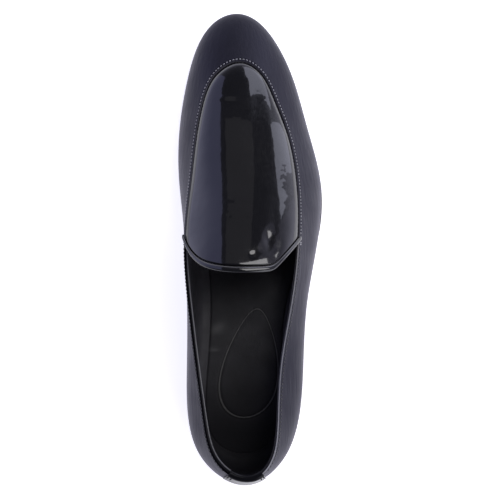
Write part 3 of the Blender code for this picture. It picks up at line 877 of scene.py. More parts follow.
def build_upper():
    """Outer leather: the wall with bead and groove, rounded over its edge and back down its flesh side."""
    thick = settings().sizes.leather_thick / MM
    radius = 0.5 * thick
    w = loop_shares(UPPER_COLUMNS)
    speed = rim_speed(w)
    body = np.linspace(0.0, 1.0, BODY_ROWS)[:, None] * (1.0 - EDGE_RUN / speed)
    edge = 1.0 - np.linspace(EDGE_RUN, radius, EDGE_ROWS)[1:, None] / speed
    t = np.concatenate([body, edge])
    share = np.broadcast_to(w, t.shape)
    gap = (1.0 - t) * speed
    outer = wall(share, t) + edge_relief(share, gap)[..., None] * wall_out(share, t)
    angles = np.linspace(0.0, math.pi, ROUND_ROWS + 2)[1:-1]
    fold = rim_round(w, radius, radius, radius, angles)
    low = np.linspace(1.0, 0.0, INNER_ROWS)[:, None] * (1.0 - radius / speed)
    inner_share = np.broadcast_to(w, low.shape)
    inner = wall(inner_share, low) - thick * wall_out(inner_share, low)
    inner[-1, :, 2] = outer[0, :, 2]
    points = np.concatenate([outer, fold, inner])
    run = path_length(rim(np.append(w, 2.0)))[:-1]
    rows = len(points)
    gaps = np.concatenate([gap, np.zeros(fold.shape[:2]), np.full(inner.shape[:2], EDGE_RUN)])
    notes = {"seam_gap": gaps, "seam_run": np.broadcast_to(run, (rows, len(w)))}
    notes.update(edge_notes(np.broadcast_to(w, gaps.shape), gaps))
    # The painted highlight is strongest on the top of the fold, where it faces the light
    notes["painted_highlight"][len(outer):len(outer) + len(fold)] *= np.sin(angles)[:, None] ** 2
    quads = grid_quads(rows, len(w), True, True)
    make_piece("upper_leather", points, quads, "calf", ["upper"], notes=notes)


# Lining: how far it stops below the rim, where its cove leaves the wall and runs out on the footbed
LINING_GAP = 0.08
LINING_DROP = 0.7
COVE_SHARE = 0.20
COVE_RUN = 6.0
COVE_STEPS = 10
COVE_FLOOR = 2.1
LINING_FLOOR = 0.35
LINING_ROWS = 26
LINING_LEAN = 1.0
LINING_LEAN_RUN = 7.0
LEAN_LATERAL = 0.35
CREST_POWER = 6.0


def build_lining():
    """Quarter lining: down behind the leather, in along the footbed, round a cove and up to the topline."""
    near = settings().sizes.leather_thick / MM + LINING_GAP
    radius = 0.5 * (WALL - near)
    w = loop_shares(UPPER_COLUMNS)
    top = 1.0 - (LINING_DROP + radius) / rim_speed(w)
    down = np.linspace(1.0, 0.0, INNER_ROWS)[:, None] * top
    share = np.broadcast_to(w, down.shape)
    back = wall(share, down) - near * wall_out(share, down)
    plan = inset_line(feather_plan, w, WALL + COVE_RUN)
    floor = top_z(plan[:, 1])
    back[-1, :, 2] = top_z(back[-1, :, 1]) + LINING_FLOOR
    under = np.column_stack([plan, floor + LINING_FLOOR])
    start = np.column_stack([plan, floor + COVE_FLOOR])
    cove_t = np.full(w.shape, COVE_SHARE)
    end = wall(w, cove_t) - WALL * wall_out(w, cove_t)
    corner = np.column_stack([end[:, :2], top_z(end[:, 1]) + COVE_FLOOR])
    b = np.linspace(0.0, 1.0, COVE_STEPS)[:, None, None]
    cove = (1.0 - b) ** 2 * start + 2.0 * b * (1.0 - b) * corner + b * b * end
    rise = COVE_SHARE + np.linspace(0.0, 1.0, LINING_ROWS)[1:, None] * (top - COVE_SHARE)
    share = np.broadcast_to(w, rise.shape)
    lean = LINING_LEAN * np.clip(np.cos(np.pi * w), 0.0, 1.0) * np.where(w <= 1.0, 1.0, LEAN_LATERAL)
    below = (top - rise) * rim_speed(w)
    depth = WALL + lean * np.exp(-((below / LINING_LEAN_RUN) ** 2))
    face = wall(share, rise) - depth[..., None] * wall_out(share, rise)
    angles = np.linspace(math.pi, 0.0, ROUND_ROWS + 2)[1:-1]
    fold = rim_round(w, LINING_DROP + radius, (near + radius + lean)[:, None], radius, angles)
    points = np.concatenate([back, under[None], cove, face, fold])
    # Painted highlight on the top of the lining's fold, where light catches it
    pale = np.zeros(points.shape[:2])
    pale[-len(fold):] = edge_value("lining", w) * np.sin(angles)[:, None] ** CREST_POWER
    quads = grid_quads(len(points), len(w), True, True)
    make_piece("quarter_lining", points, quads, "lining", notes={"painted_highlight": pale})


# Apron: thickness, how deep it lies under the vamp's edge, how soon it swells up from it, the skirts that
# run on under the vamp, its rounded edge at the binding and how its lines crowd toward that edge
APRON_THICK = 0.8
APRON_SINK = 0.06
SEAM_STEP = 0.70
SEAM_SWELL = 1.7
SKIRT_DROP = 1.1
SKIRT_GAP = 0.25
BINDING_CLEAR = 0.5
EDGE_TURN = 0.8
EDGE_DEPTH = 1.1
PACKED = 1.5
SEAM_POINTS = 1200
SHEET_SHARP = 60.0


def seam_field(points):
    """Plan distance to the apron seam, and the length along the seam of its nearest point."""
    w = np.linspace(THROAT, 2.0 - THROAT, SEAM_POINTS)
    seam = rim(w)
    run = path_length(seam)
    gap = np.empty(points.shape[:2])
    along = np.empty(points.shape[:2])
    for k, row in enumerate(points):
        apart = np.linalg.norm(row[:, None, :2] - seam[None, :, :2], axis=-1)
        nearest = apart.argmin(axis=1)
        gap[k] = apart.min(axis=1)
        along[k] = run[nearest]
    return gap, along


def build_apron():
    """Patent apron: the crowned vamp face, sunk along the seam so the vamp's edge laps over it."""
    sizes = settings().sizes
    r = np.linspace(0.0, 1.0, APRON_ACROSS)
    start = throat_share(r, sizes.binding_width / MM + BINDING_CLEAR)
    runs = np.linspace(0.0, 1.0, APRON_LINES)[:, None] ** PACKED
    u = start + (1.0 - start) * runs
    across = np.broadcast_to(r, u.shape)
    face = apron(u, across)
    normal = apron_out(u, across)
    gap, along = seam_field(face)
    ahead = np.linalg.norm(face - face[:1], axis=-1)
    turn = np.clip(1.0 - ahead / EDGE_TURN, 0.0, 1.0)
    edge = EDGE_DEPTH * (1.0 - np.sqrt(1.0 - turn**2))
    sink = APRON_SINK + SEAM_STEP * np.exp(-((gap / SEAM_SWELL) ** 2)) + edge
    height = bump_sum(face[..., 0], face[..., 1], APRON_CREASES) - sink
    top = face + height[..., None] * normal
    skirts = []
    for side in (u[:, 0], 2.0 - u[:, -1]):
        t = 1.0 - SKIRT_DROP / rim_speed(side)
        depth = sizes.leather_thick / MM + SKIRT_GAP
        skirts.append((wall(side, t) - depth * wall_out(side, t))[:, None])
    top = np.concatenate([skirts[0], top, skirts[1]], axis=1)
    normal = np.concatenate([normal[:, :1], normal, normal[:, -1:]], axis=1)
    low = top - APRON_THICK * normal
    pad = ((0, 0), (1, 1))
    gap = np.pad(gap, pad, mode="edge")
    along = np.pad(along, pad, mode="edge")
    rows, columns = gap.shape
    notes = {"seam_gap": np.stack([gap, gap]), "seam_run": np.stack([along, along])}
    points = np.stack([top, low])
    quads = sheet_quads(rows, columns)
    make_piece("apron_patent", points, quads, "patent", ["vamp_plug"], SHEET_SHARP, notes)


# Lining under the apron
ROOF_NEAR = 1.7
ROOF_LINES = 60
ROOF_ACROSS = 48


def build_vamp_lining():
    """Lining under the apron: the same crowned face, further in."""
    u = np.linspace(THROAT, NORMAL_FRONT, ROOF_LINES)[:, None]
    r = np.linspace(0.0, 1.0, ROOF_ACROSS)[None, :]
    u, r = np.broadcast_arrays(u, r)
    face = apron(u, r)
    normal = apron_out(u, r)
    points = np.stack([face - ROOF_NEAR * normal, face - WALL * normal])
    quads = sheet_quads(ROOF_LINES, ROOF_ACROSS)
    make_piece("vamp_lining", points, quads, "lining", sharp=SHEET_SHARP)


# Binding along the throat: its cross-section is a squarish ellipse
BINDING_ACROSS = 180
BINDING_ROUND = 40
BINDING_BACK = 0.5
BINDING_LOW = -2.1
BINDING_SQUARE = 0.78
BINDING_END = 0.010


def build_binding():
    """Rolled binding: a squarish ellipse, a power of cosine by a power of sine, carried along the throat."""
    sizes = settings().sizes
    front = sizes.binding_width / MM
    high = sizes.binding_rise / MM
    r = np.linspace(-BINDING_END, 1.0 + BINDING_END, BINDING_ACROSS)
    angle = turns(BINDING_ROUND)
    cosine, sine = np.cos(angle), np.sin(angle)
    half = 0.5 * (front + BINDING_BACK)
    ahead = front - half + half * np.sign(cosine) * np.abs(cosine) ** BINDING_SQUARE
    middle = 0.5 * (high + BINDING_LOW)
    rise = middle + (high - middle) * np.sign(sine) * np.abs(sine) ** BINDING_SQUARE
    across = np.broadcast_to(r[:, None], (len(r), len(angle)))
    u = throat_share(across, ahead[None, :])
    roll = apron(u, across) + rise[None, :, None] * apron_out(u, across)
    ends = roll[[0, -1]].mean(axis=1, keepdims=True)
    caps = np.repeat(ends, len(angle), axis=1)
    points = np.concatenate([caps[:1], roll, caps[1:]])
    quads = grid_quads(len(points), len(angle), False, True)
    make_piece("throat_binding_roll", points, quads, "patent", ["throat_binding"])


# Heel tab folded over the back of the topline
TAB_SHARE = 0.076
TAB_OUTER_LEG = 0.26
TAB_INNER_LEG = 0.12
TAB_GAP = 0.30
TAB_THICK = 0.85
TAB_FOLD_DROP = 0.9
TAB_COLUMNS = 60
TAB_LEG_ROWS = 26
TAB_BEVEL = 0.28
TAB_BEVEL_STEPS = 2
TAB_SHARP = 50.0


def tab_face(w, radius):
    """Fold over the topline: up the outside, half a circle over the rim and down the lining, at a radius."""
    centre = 1.0 - TAB_FOLD_DROP / rim_speed(w)
    rows = []
    for first, last, side in ((1.0 - TAB_OUTER_LEG, None, 1.0), (None, 1.0 - TAB_INNER_LEG, -1.0)):
        run = np.linspace(0.0, 1.0, TAB_LEG_ROWS)[:, None]
        start = centre if first is None else np.full(w.shape, first)
        end = centre if last is None else np.full(w.shape, last)
        t = start + (end - start) * run
        share = np.broadcast_to(w, t.shape)
        middle = wall(share, t) - 0.5 * WALL * wall_out(share, t)
        rows.append(middle + side * radius * wall_out(share, t))
    angles = np.linspace(0.0, math.pi, 2 * ROUND_ROWS)[1:-1]
    over = rim_round(w, TAB_FOLD_DROP, 0.5 * WALL, radius, angles)
    return np.concatenate([rows[0], over, rows[1]])


def build_tab():
    """Patent tab: two folds over the topline, one inside the other, joined round their edge and bevelled."""
    w = TAB_SHARE * np.linspace(-1.0, 1.0, TAB_COLUMNS)
    near = tab_face(w, 0.5 * WALL + TAB_GAP)
    far = tab_face(w, 0.5 * WALL + TAB_GAP + TAB_THICK)
    quads = sheet_quads(len(far), TAB_COLUMNS)
    points = np.stack([far, near])
    tab = make_piece(
        "heel_tab_patent", points, quads, "tab_patent", ["heel_tab"], TAB_SHARP)
    bevel = tab.modifiers.new("Edge", "BEVEL")
    bevel.width = TAB_BEVEL * MM
    bevel.segments = TAB_BEVEL_STEPS
    bevel.limit_method = "ANGLE"
    bevel.angle_limit = math.radians(TAB_SHARP)


# Sock: how far it lies in from the wall, its height on the sole and its pressed edge
SOCK_INSET = 5.2
SOCK_LOW = 0.40
SOCK_TOP = 2.70
SOCK_EDGE_DROP = 0.40
SOCK_EDGE_WIDTH = 0.7
SOCK_SHARP = 50.0
TINY = 1e-9


def oval_way(x, y):
    """Distance from the pressed line: an ellipse that leans to the lateral side and tapers toward the toe."""
    mid_x, mid_y = OVAL_MIDDLE
    half_x, half_y = OVAL_HALF
    b = (y - mid_y) / half_y
    a = (x - mid_x - OVAL_LEAN * (y - mid_y)) / (half_x * (1.0 - OVAL_TAPER * b))
    reach = np.hypot(a, b) + TINY
    return (reach - 1.0) * reach / (np.hypot(a / half_x, b / half_y) + TINY)


def build_sock():
    """Sock: a sheet across the footbed from edge to edge, with a pressed oval, a pleat and rounded edges."""
    u = np.linspace(0.0, 1.0, SOCK_LINES)
    left = inset_line(feather_plan, u, WALL + SOCK_INSET)
    right = inset_line(feather_plan, 2.0 - u, WALL + SOCK_INSET)
    right[[0, -1]] = left[[0, -1]]
    r = np.linspace(0.0, 1.0, SOCK_ACROSS)[None, :, None]
    plan = left[:, None] + (right - left)[:, None] * (0.5 - 0.5 * np.cos(np.pi * r))
    x, y = plan[..., 0], plan[..., 1]
    from_left = np.linalg.norm(plan - left[:, None], axis=-1)
    from_right = np.linalg.norm(plan - right[:, None], axis=-1)
    from_edge = np.minimum.reduce([from_left, from_right, y - left[0, 1], left[-1, 1] - y])
    drop = SOCK_EDGE_DROP * np.exp(-((from_edge / SOCK_EDGE_WIDTH) ** 2))
    way = oval_way(x, y)
    ridge = np.exp(-((way / OVAL_RIDGE) ** 2))
    pressed = OVAL_DEPTH * (ridge - np.exp(-((way / OVAL_WIDTH) ** 2)))
    pleat = bump_sum(x, y, SOCK_CREASES)
    high = top_z(y) + SOCK_TOP - drop + pressed + pleat
    # Painted highlight on the raised pleat and fold, paler the higher they rise
    pale = PLEAT_HIGHLIGHT * np.clip(pleat, 0.0, 1.0)
    gap = np.clip(way, -OVAL_REACH, OVAL_REACH)
    top = np.stack([x, y, high], axis=-1)
    low = np.stack([x, y, top_z(y) + SOCK_LOW], axis=-1)
    quads = sheet_quads(SOCK_LINES, SOCK_ACROSS)
    notes = {"painted_highlight": np.stack([pale, np.zeros(pale.shape)]), "oval_gap": np.stack([gap, gap])}
    points = np.stack([top, low])
    make_piece("sock", points, quads, "sock", ["insole"], SOCK_SHARP, notes)


# Sole: rounding of its top edge, tuck of its side, and the heel tip behind the brace
SOLE_TOP_BEVEL = 0.5
SOLE_EDGE_DROP = 0.6
SOLE_SIDE_TUCK = 0.25
TIP_THICK = 6.0
TIP_GAP = 0.3
SOLE_SHARP = 35.0
SOLE_TOP_STEPS = 4
BRACE_STEPS = 160
BLOCK_SIDES = (-56.0, 48.0)
BLOCK_BACK = -20.0
BLOCK_FLOOR = -10.0


def sole_points():
    """Rings of the sole: rounded top edge, side, and a quarter ellipse under to the flat bottom."""
    w = loop_shares(SOLE_LOOP)
    u, medial = half_share(w)
    under = side_value(UNDER, u, medial)
    height = UNDER["round"](u)
    rings = []
    for angle in np.linspace(0.5 * math.pi, 0.0, SOLE_TOP_STEPS):
        plan = inset_line(sole_line, w, SOLE_TOP_BEVEL * (1.0 - math.cos(angle)))
        drop = SOLE_EDGE_DROP * (1.0 - math.sin(angle))
        rings.append(np.column_stack([plan, top_z(plan[:, 1]) - drop]))
    for angle in np.linspace(0.0, 0.5 * math.pi, UNDER_STEPS):
        plan = inset_line(sole_line, w, SOLE_SIDE_TUCK + under * (1.0 - math.cos(angle)))
        base = bottom_z(plan[:, 1])
        rings.append(np.column_stack([plan, base + height * (1.0 - math.sin(angle))]))
    return np.array(rings)


def sole_block(name, finish, replaced):
    """The whole form of the sole, closed on top and underneath, before it is cut."""
    rings = sole_points()
    count = rings.shape[1]
    side = grid_quads(len(rings), count, False, True).tolist()
    first = np.arange(count)
    last = first + (len(rings) - 1) * count
    faces = side + lid_faces(first) + lid_faces(last)
    return make_piece(name, rings, faces, finish, replaced, SOLE_SHARP)


def brace_block(setback, height):
    """Upright block behind the brace line, used only to cut."""
    left, right = BLOCK_SIDES
    x = np.linspace(left, right, BRACE_STEPS)
    front = np.column_stack([x, BRACE["y"](x) - setback])
    plan = np.concatenate([front, [[right, BLOCK_BACK], [left, BLOCK_BACK]]])
    count = len(plan)
    low = np.column_stack([plan, np.full(count, BLOCK_FLOOR)])
    high = np.column_stack([plan, np.full(count, height)])
    faces = grid_quads(2, count, False, True).tolist()
    faces += [list(range(count)), list(range(count, 2 * count))]
    return make_piece("brace_block", np.stack([low, high]), faces, "rubber")


def cut(target, block, operation):
    """Cuts a piece with a block, keeps the result as its mesh and removes the block."""
    change = target.modifiers.new("Cut", "BOOLEAN")
    change.operation = operation
    change.solver = "EXACT"
    change.object = block
    deps = bpy.context.evaluated_depsgraph_get()
    mesh = bpy.data.meshes.new_from_object(target.evaluated_get(deps))
    target.modifiers.clear()
    old = target.data
    target.data = mesh
    mesh.name = target.name
    mesh.shade_smooth()
    mesh.set_sharp_from_angle(angle=math.radians(SOLE_SHARP))
    bpy.data.meshes.remove(old)
    bpy.data.objects.remove(block, do_unlink=True)


def build_sole():
    """Outsole and heel tip: the same form, parted by a narrow gap along the brace."""
    outsole = sole_block("outsole_rubber", "rubber", ["outsole"])
    cut(outsole, brace_block(-TIP_GAP, TIP_THICK + TIP_GAP), "DIFFERENCE")
    tip = sole_block("heel_tip_rubber", "tip", ["heel_tip"])
    cut(tip, brace_block(TIP_GAP, TIP_THICK), "INTERSECT")


def build_ring():
    """Ring moulded under the waist: an ellipse carried round a circle on the underside."""
    around = turns(RING_STEPS)[:, None]
    section = turns(RING_SIDES)[None, :]
    radius = RING_RADIUS + RING_HALF_WIDTH * np.cos(section)
    x = RING_MIDDLE[0] + radius * np.cos(around)
    y = RING_MIDDLE[1] + radius * np.sin(around)
    points = np.stack([x, y, bottom_z(y) + RING_RISE * np.sin(section)], axis=-1)
    quads = grid_quads(RING_STEPS, RING_SIDES, True, True)
    make_piece("size_ring", points, quads, "rubber")


# Stitch: rings along it, sides round it, its share of the pitch, its rise and how flat its thread lies
STITCH_RINGS = 4
STITCH_SIDES = 6
STITCH_FILL = 0.62
STITCH_RISE = 0.16
THREAD_FLAT = 0.8


def stitch_shape():
    """One stitch: rings of an ellipse along its length, drawn in to a point at both ends."""
    along = np.cos(np.linspace(0.0, math.pi, STITCH_RINGS + 2))
    radius = np.sqrt(np.clip(1.0 - along**4, 0.0, 1.0))
    turn = turns(STITCH_SIDES)
    rings = np.stack([
        np.repeat(along[:, None], STITCH_SIDES, axis=1),
        radius[:, None] * np.cos(turn),
        radius[:, None] * np.sin(turn),
    ], axis=-1)
    return rings.reshape(-1, 3), grid_quads(STITCH_RINGS + 2, STITCH_SIDES, False, True)


def sew(name, places, along, out, length, thread, finish):
    """A row of stitches as one mesh: the same shape set along, across and up at each place."""
    shape, quads = stitch_shape()
    along = unit(along - (along * out).sum(-1, keepdims=True) * out)
    across = np.cross(out, along)
    local = shape * 0.5 * np.array([length, thread, THREAD_FLAT * thread])
    axes = np.stack([along, across, out], axis=1)
    points = places[:, None, :] + local @ axes
    steps = len(shape) * np.arange(len(places))
    faces = (quads[None] + steps[:, None, None]).reshape(-1, 4)
    make_piece(name, points, faces, finish)


def rim_stitches(name, start, end, finish):
    """Stitches in the groove below the rim, between two shares."""
    sizes = settings().sizes
    inset = sizes.stitch_inset / MM
    pitch = sizes.stitch_pitch / MM

    def line(w):
        return wall(w, 1.0 - inset / rim_speed(w))

    w = even_shares(line, start, end, pitch)
    out = wall_out(w, 1.0 - inset / rim_speed(w))
    along = line(w + SHARE_STEP) - line(w - SHARE_STEP)
    rise = STITCH_RISE + edge_relief(w, inset)
    places = line(w) + rise[:, None] * out
    sew(name, places, along, out, STITCH_FILL * pitch, sizes.thread_width / MM, finish)


# Stitch rows below the rim: piece, share where it starts and ends, thread
STITCH_ROWS = (
    ("vamp_stitches", 0.503, 1.497, "thread"),
    ("topline_stitches_medial", 0.092, 0.492, "dark_thread"),
    ("topline_stitches_lateral", 1.508, 1.908, "dark_thread"),
)

# Tacks across the ends of the heel tab and at the corners of the throat: shares, drop from the rim, length
TACK_SHARES = (-0.071, -0.060, 0.060, 0.071)
TACK_DROP = 3.4
TACK_LENGTH = 5.0
TACK_WIDTH = 1.0
CORNER_SHARES = (0.496, 0.4985, 1.5015, 1.504)
CORNER_DROP = 1.6
CORNER_LENGTH = 2.4


def tacks(name, shares, drop, rise, length, width, finish):
    """Stitches that stand up the wall at some shares, a drop below the rim and a rise above the leather."""
    w = np.array(shares)
    t = 1.0 - drop / rim_speed(w)
    out = wall_out(w, t)
    sew(name, wall(w, t) + rise * out, wall_up(w, t), out, length, width, finish)


def build_stitches():
    """Stitch rows of vamp and topline, tacks of the tab and of the throat's corners."""
    for row in STITCH_ROWS:
        rim_stitches(*row)
    on_tab = TAB_GAP + TAB_THICK
    tacks("tab_tacks", TACK_SHARES, TACK_DROP, on_tab, TACK_LENGTH, TACK_WIDTH, "tack_thread")
    thread = settings().sizes.thread_width / MM
    tacks("throat_tacks", CORNER_SHARES, CORNER_DROP, STITCH_RISE, CORNER_LENGTH, thread, "thread")


# Soft boxes: middle, direction they face, turn about it in degrees, size in metres, brightness, colour
PANELS = (
    ("left_panel", (-0.88, 0.72, 0.62), (0.80, 0.0, -0.54), 0.0, (1.6, 1.1), 0.72, (0.55, 0.57, 1.0)),
    ("front_ceiling", (-0.01, 0.21, 0.30), (0.0, 0.0, -1.0), 0.0, (0.19, 0.175), 0.12, (1.0, 0.97, 0.98)),
    ("toe_window", (0.10, 0.25, 0.13), (0.0, -1.0, 0.0), 30.0, (0.155, 0.125), 2.0, (0.80, 0.82, 1.0)),
    ("side_window", (0.20, 0.20, 0.125), (-1.0, 0.0, 0.0), -26.0, (0.055, 0.175), 1.8, (0.80, 0.82, 1.0)),
    ("right_ceiling", (0.60, 0.49, 1.0), (0.0, 0.0, -1.0), 16.0, (1.07, 0.54), 3.6, (1.0, 0.99, 1.0)),
    ("right_panel", (0.30, 0.05, 0.17), (-1.0, 0.0, 0.0), -120.0, (0.93, 0.33), 0.27, (0.74, 0.72, 1.0)),
    ("rear_fill", (0.75, -0.62, 0.72), (-0.75, 0.56, -0.68), 0.0, (0.9, 0.7), 2.0, (0.94, 0.94, 1.0)),
)


def light_panel(name, middle, faces, turn, size, radiance, colour):
    """A soft box: a rectangle turned about the way it faces, its power worked out from how bright it is."""
    light = bpy.data.lights.new(name, "AREA")
    light.shape = "RECTANGLE"
    light.size, light.size_y = size
    light.color = colour
    light.energy = radiance * math.pi * size[0] * size[1]
    panel = bpy.data.objects.new(name, light)
    panel.location = middle
    panel.visible_camera = False
    panel.rotation_mode = "QUATERNION"
    roll = Quaternion((0.0, 0.0, 1.0), math.radians(turn))
    panel.rotation_quaternion = Vector(faces).to_track_quat("-Z", "Y") @ roll
    bpy.context.scene.collection.objects.link(panel)


# Studio: its colour and the height of the direction from which it is as dim as overhead
STUDIO_TONE = (0.82, 0.82, 1.0, 1.0)
OVERHEAD_FROM = 0.6


def build_world():
    """Pale studio: bright at the horizon, dim overhead, by the height of the direction looked in."""
    look = settings().stage
    world = bpy.data.worlds.new("studio")
    bpy.context.scene.world = world
    world.use_nodes = True
    tree = world.node_tree
    back = tree.nodes["Background"]
    place = tree.nodes.new("ShaderNodeTexCoord")
    split = tree.nodes.new("ShaderNodeSeparateXYZ")
    span = tree.nodes.new("ShaderNodeMapRange")
    span.interpolation_type = "SMOOTHSTEP"
    values = {"From Min": 0.0, "From Max": OVERHEAD_FROM, "To Min": look.horizon, "To Max": look.zenith}
    for name, value in values.items():
        span.inputs[name].default_value = value
    tree.links.new(place.outputs["Generated"], split.inputs["Vector"])
    tree.links.new(split.outputs["Z"], span.inputs["Value"])
    tree.links.new(span.outputs["Result"], back.inputs["Strength"])
    back.inputs["Color"].default_value = STUDIO_TONE


# Paper floor: half its width and its drop below the sole in metres, and the colour of its glow
FLOOR_HALF = 4.0
FLOOR_DROP = 0.0003
PAPER_GLOW = (0.93, 0.92, 1.0, 1.0)


def build_floor():
    """Paper floor: a wide square just under the sole that gives off light of its own."""
    look = settings().stage
    corners = [(-1, -1), (1, -1), (1, 1), (-1, 1)]
    mesh = bpy.data.meshes.new("floor")
    points = [(FLOOR_HALF * a, FLOOR_HALF * b, -FLOOR_DROP) for a, b in corners]
    mesh.from_pydata(points, [], [(0, 1, 2, 3)])
    finish = Finish("floor_paper")
    finish.set(base_color=finish.blend(finish.mottle(3.0), tone(look.floor, 0.99), tone(look.floor, 1.0)))
    finish.set(roughness=0.9, specular_ior_level=0.1)
    finish.set(emission_color=PAPER_GLOW, emission_strength=look.floor_glow)
    mesh.materials.append(finish.material)
    floor = bpy.data.objects.new("floor", mesh)
    bpy.context.scene.collection.objects.link(floor)


CLIP_START = 0.01


def build_camera():
    """Camera straight above the shoe."""
    look = settings().stage
    camera = bpy.data.objects.new("camera", bpy.data.cameras.new("camera"))
    camera.data.lens = look.lens
    camera.data.sensor_width = look.sensor
    camera.data.clip_start = CLIP_START
    camera.location = (0.0, look.camera_y, look.camera_z)
    bpy.context.scene.collection.objects.link(camera)
    bpy.context.scene.camera = camera
    bpy.context.scene.view_settings.view_transform = "Standard"


class ShoeSizes(bpy.types.PropertyGroup):
    """Sizes of the sewn details."""

    leather_thick: bpy.props.FloatProperty(
        name="Leather", description="Thickness of the upper's leather at its edges",
        default=0.0011, unit="LENGTH")
    stitch_pitch: bpy.props.FloatProperty(
        name="Stitch pitch", description="Distance from stitch to stitch",
        default=0.0022, unit="LENGTH")
    stitch_inset: bpy.props.FloatProperty(
        name="Stitch inset", description="Distance of the stitch rows from the edge",
        default=0.0017, unit="LENGTH")
    thread_width: bpy.props.FloatProperty(
        name="Thread", description="Width of the sewing thread",
        default=0.00075, unit="LENGTH")
    binding_width: bpy.props.FloatProperty(
        name="Binding width", description="Width of the rolled throat binding",
        default=0.0028, unit="LENGTH")
    binding_rise: bpy.props.FloatProperty(
        name="Binding rise", description="Height of the binding above the apron",
        default=0.00085, unit="LENGTH")


class ShoeColours(bpy.types.PropertyGroup):
    """Colours of the leathers, rubber and thread."""

    leather: bpy.props.FloatVectorProperty(
        name="Leather", description="Matte leather of vamp and quarters", subtype="COLOR", size=3,
        default=(0.0078, 0.0080, 0.0120), min=0.0, max=1.0)
    patent: bpy.props.FloatVectorProperty(
        name="Patent", description="Lacquered leather of apron, binding and tab", subtype="COLOR", size=3,
        default=(0.0045, 0.0045, 0.0055), min=0.0, max=1.0)
    lining: bpy.props.FloatVectorProperty(
        name="Lining", description="Lining and sock", subtype="COLOR", size=3,
        default=(0.038, 0.037, 0.043), min=0.0, max=1.0)
    sole: bpy.props.FloatVectorProperty(
        name="Sole", description="Rubber of sole and heel tip", subtype="COLOR", size=3,
        default=(0.013, 0.013, 0.016), min=0.0, max=1.0)
    thread: bpy.props.FloatVectorProperty(
        name="Thread", description="Sewing thread", subtype="COLOR", size=3,
        default=(0.26, 0.26, 0.28), min=0.0, max=1.0)


class ShoeStage(bpy.types.PropertyGroup):
    """Floor, studio and camera."""

    floor: bpy.props.FloatVectorProperty(
        name="Floor", description="Colour of the paper the shoe stands on", subtype="COLOR", size=3,
        default=(0.92, 0.92, 0.88), min=0.0, max=1.0)
    floor_glow: bpy.props.FloatProperty(
        name="Floor glow", description="Light that the paper gives off", default=0.82, min=0.0)
    zenith: bpy.props.FloatProperty(
        name="Overhead", description="Brightness of the studio overhead", default=0.09, min=0.0)
    horizon: bpy.props.FloatProperty(
        name="Horizon", description="Brightness of the studio at eye level", default=1.30, min=0.0)
    lens: bpy.props.FloatProperty(
        name="Lens", description="Focal length in millimetres", default=52.42, min=1.0)
    sensor: bpy.props.FloatProperty(
        name="Sensor", description="Width of the sensor in millimetres", default=36.0, min=1.0)
    camera_y: bpy.props.FloatProperty(
        name="Camera along", description="Place of the camera along the shoe", default=-0.0065, unit="LENGTH")
    camera_z: bpy.props.FloatProperty(
        name="Camera height", description="Height of the camera over the floor", default=0.5, unit="LENGTH")


class ShoeSettings(bpy.types.PropertyGroup):
    """All that a user would change."""

    sizes: bpy.props.PointerProperty(
        type=ShoeSizes, name="Sizes", description="Sizes of the sewn details")
    colours: bpy.props.PointerProperty(
        type=ShoeColours, name="Colours", description="Colours of the materials")
    stage: bpy.props.PointerProperty(
        type=ShoeStage, name="Stage", description="Floor, studio and camera")


class SHOE_OT_sole(bpy.types.Operator):
    """Make the outsole, the heel tip and the ring moulded under the waist"""

    bl_idname = "shoe.sole"
    bl_label = "Sole"

    def execute(self, context):
        build_sole()
        build_ring()
        return {"FINISHED"}


class SHOE_OT_upper(bpy.types.Operator):
    """Make the leather of vamp and quarters"""

    bl_idname = "shoe.upper"
    bl_label = "Upper leather"

    def execute(self, context):
        build_upper()
        return {"FINISHED"}


class SHOE_OT_lining(bpy.types.Operator):
    """Make the quarter lining and the lining under the apron"""

    bl_idname = "shoe.lining"
    bl_label = "Linings"

    def execute(self, context):
        build_lining()
        build_vamp_lining()
        return {"FINISHED"}


class SHOE_OT_apron(bpy.types.Operator):
    """Make the patent apron over the vamp"""

    bl_idname = "shoe.apron"
    bl_label = "Apron"

    def execute(self, context):
        build_apron()
        return {"FINISHED"}


class SHOE_OT_trim(bpy.types.Operator):
    """Make the throat binding and the heel tab"""

    bl_idname = "shoe.trim"
    bl_label = "Binding and tab"

    def execute(self, context):
        build_binding()
        build_tab()
        return {"FINISHED"}


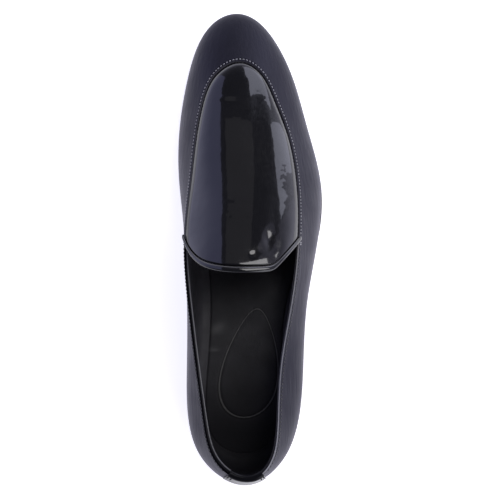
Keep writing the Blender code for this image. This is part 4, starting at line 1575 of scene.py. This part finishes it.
class SHOE_OT_sock(bpy.types.Operator):
    """Make the sock on the footbed"""

    bl_idname = "shoe.sock"
    bl_label = "Sock"

    def execute(self, context):
        build_sock()
        return {"FINISHED"}


class SHOE_OT_stitches(bpy.types.Operator):
    """Sew the stitch rows and tacks"""

    bl_idname = "shoe.stitches"
    bl_label = "Stitches"

    def execute(self, context):
        build_stitches()
        return {"FINISHED"}


class SHOE_OT_stage(bpy.types.Operator):
    """Set up the floor, studio, soft boxes and camera"""

    bl_idname = "shoe.stage"
    bl_label = "Stage"

    def execute(self, context):
        build_world()
        build_floor()
        for panel in PANELS:
            light_panel(*panel)
        build_camera()
        return {"FINISHED"}


OPERATORS = (
    SHOE_OT_sole,
    SHOE_OT_upper,
    SHOE_OT_lining,
    SHOE_OT_apron,
    SHOE_OT_trim,
    SHOE_OT_sock,
    SHOE_OT_stitches,
    SHOE_OT_stage,
)


class SHOE_PT_panel(bpy.types.Panel):
    """Lists the shoe's settings and pieces"""

    bl_idname = "SHOE_PT_panel"
    bl_label = "Slip-on shoe"
    bl_space_type = "VIEW_3D"
    bl_region_type = "UI"
    bl_category = "Shoe"

    def draw(self, context):
        shoe = context.scene.shoe
        for group in (shoe.sizes, shoe.colours, shoe.stage):
            box = self.layout.box()
            for name in group.__annotations__:
                box.prop(group, name)
        for operator in OPERATORS:
            self.layout.operator(operator.bl_idname)


CLASSES = (ShoeSizes, ShoeColours, ShoeStage, ShoeSettings, *OPERATORS, SHOE_PT_panel)


def register():
    for item in CLASSES:
        bpy.utils.register_class(item)
    bpy.types.Scene.shoe = bpy.props.PointerProperty(type=ShoeSettings)


def unregister():
    del bpy.types.Scene.shoe
    for item in reversed(CLASSES):
        bpy.utils.unregister_class(item)


def main():
    register()
    bpy.ops.shoe.sole()
    bpy.ops.shoe.upper()
    bpy.ops.shoe.lining()
    bpy.ops.shoe.apron()
    bpy.ops.shoe.trim()
    bpy.ops.shoe.sock()
    bpy.ops.shoe.stitches()
    bpy.ops.shoe.stage()


if __name__ == "__main__":
    main()
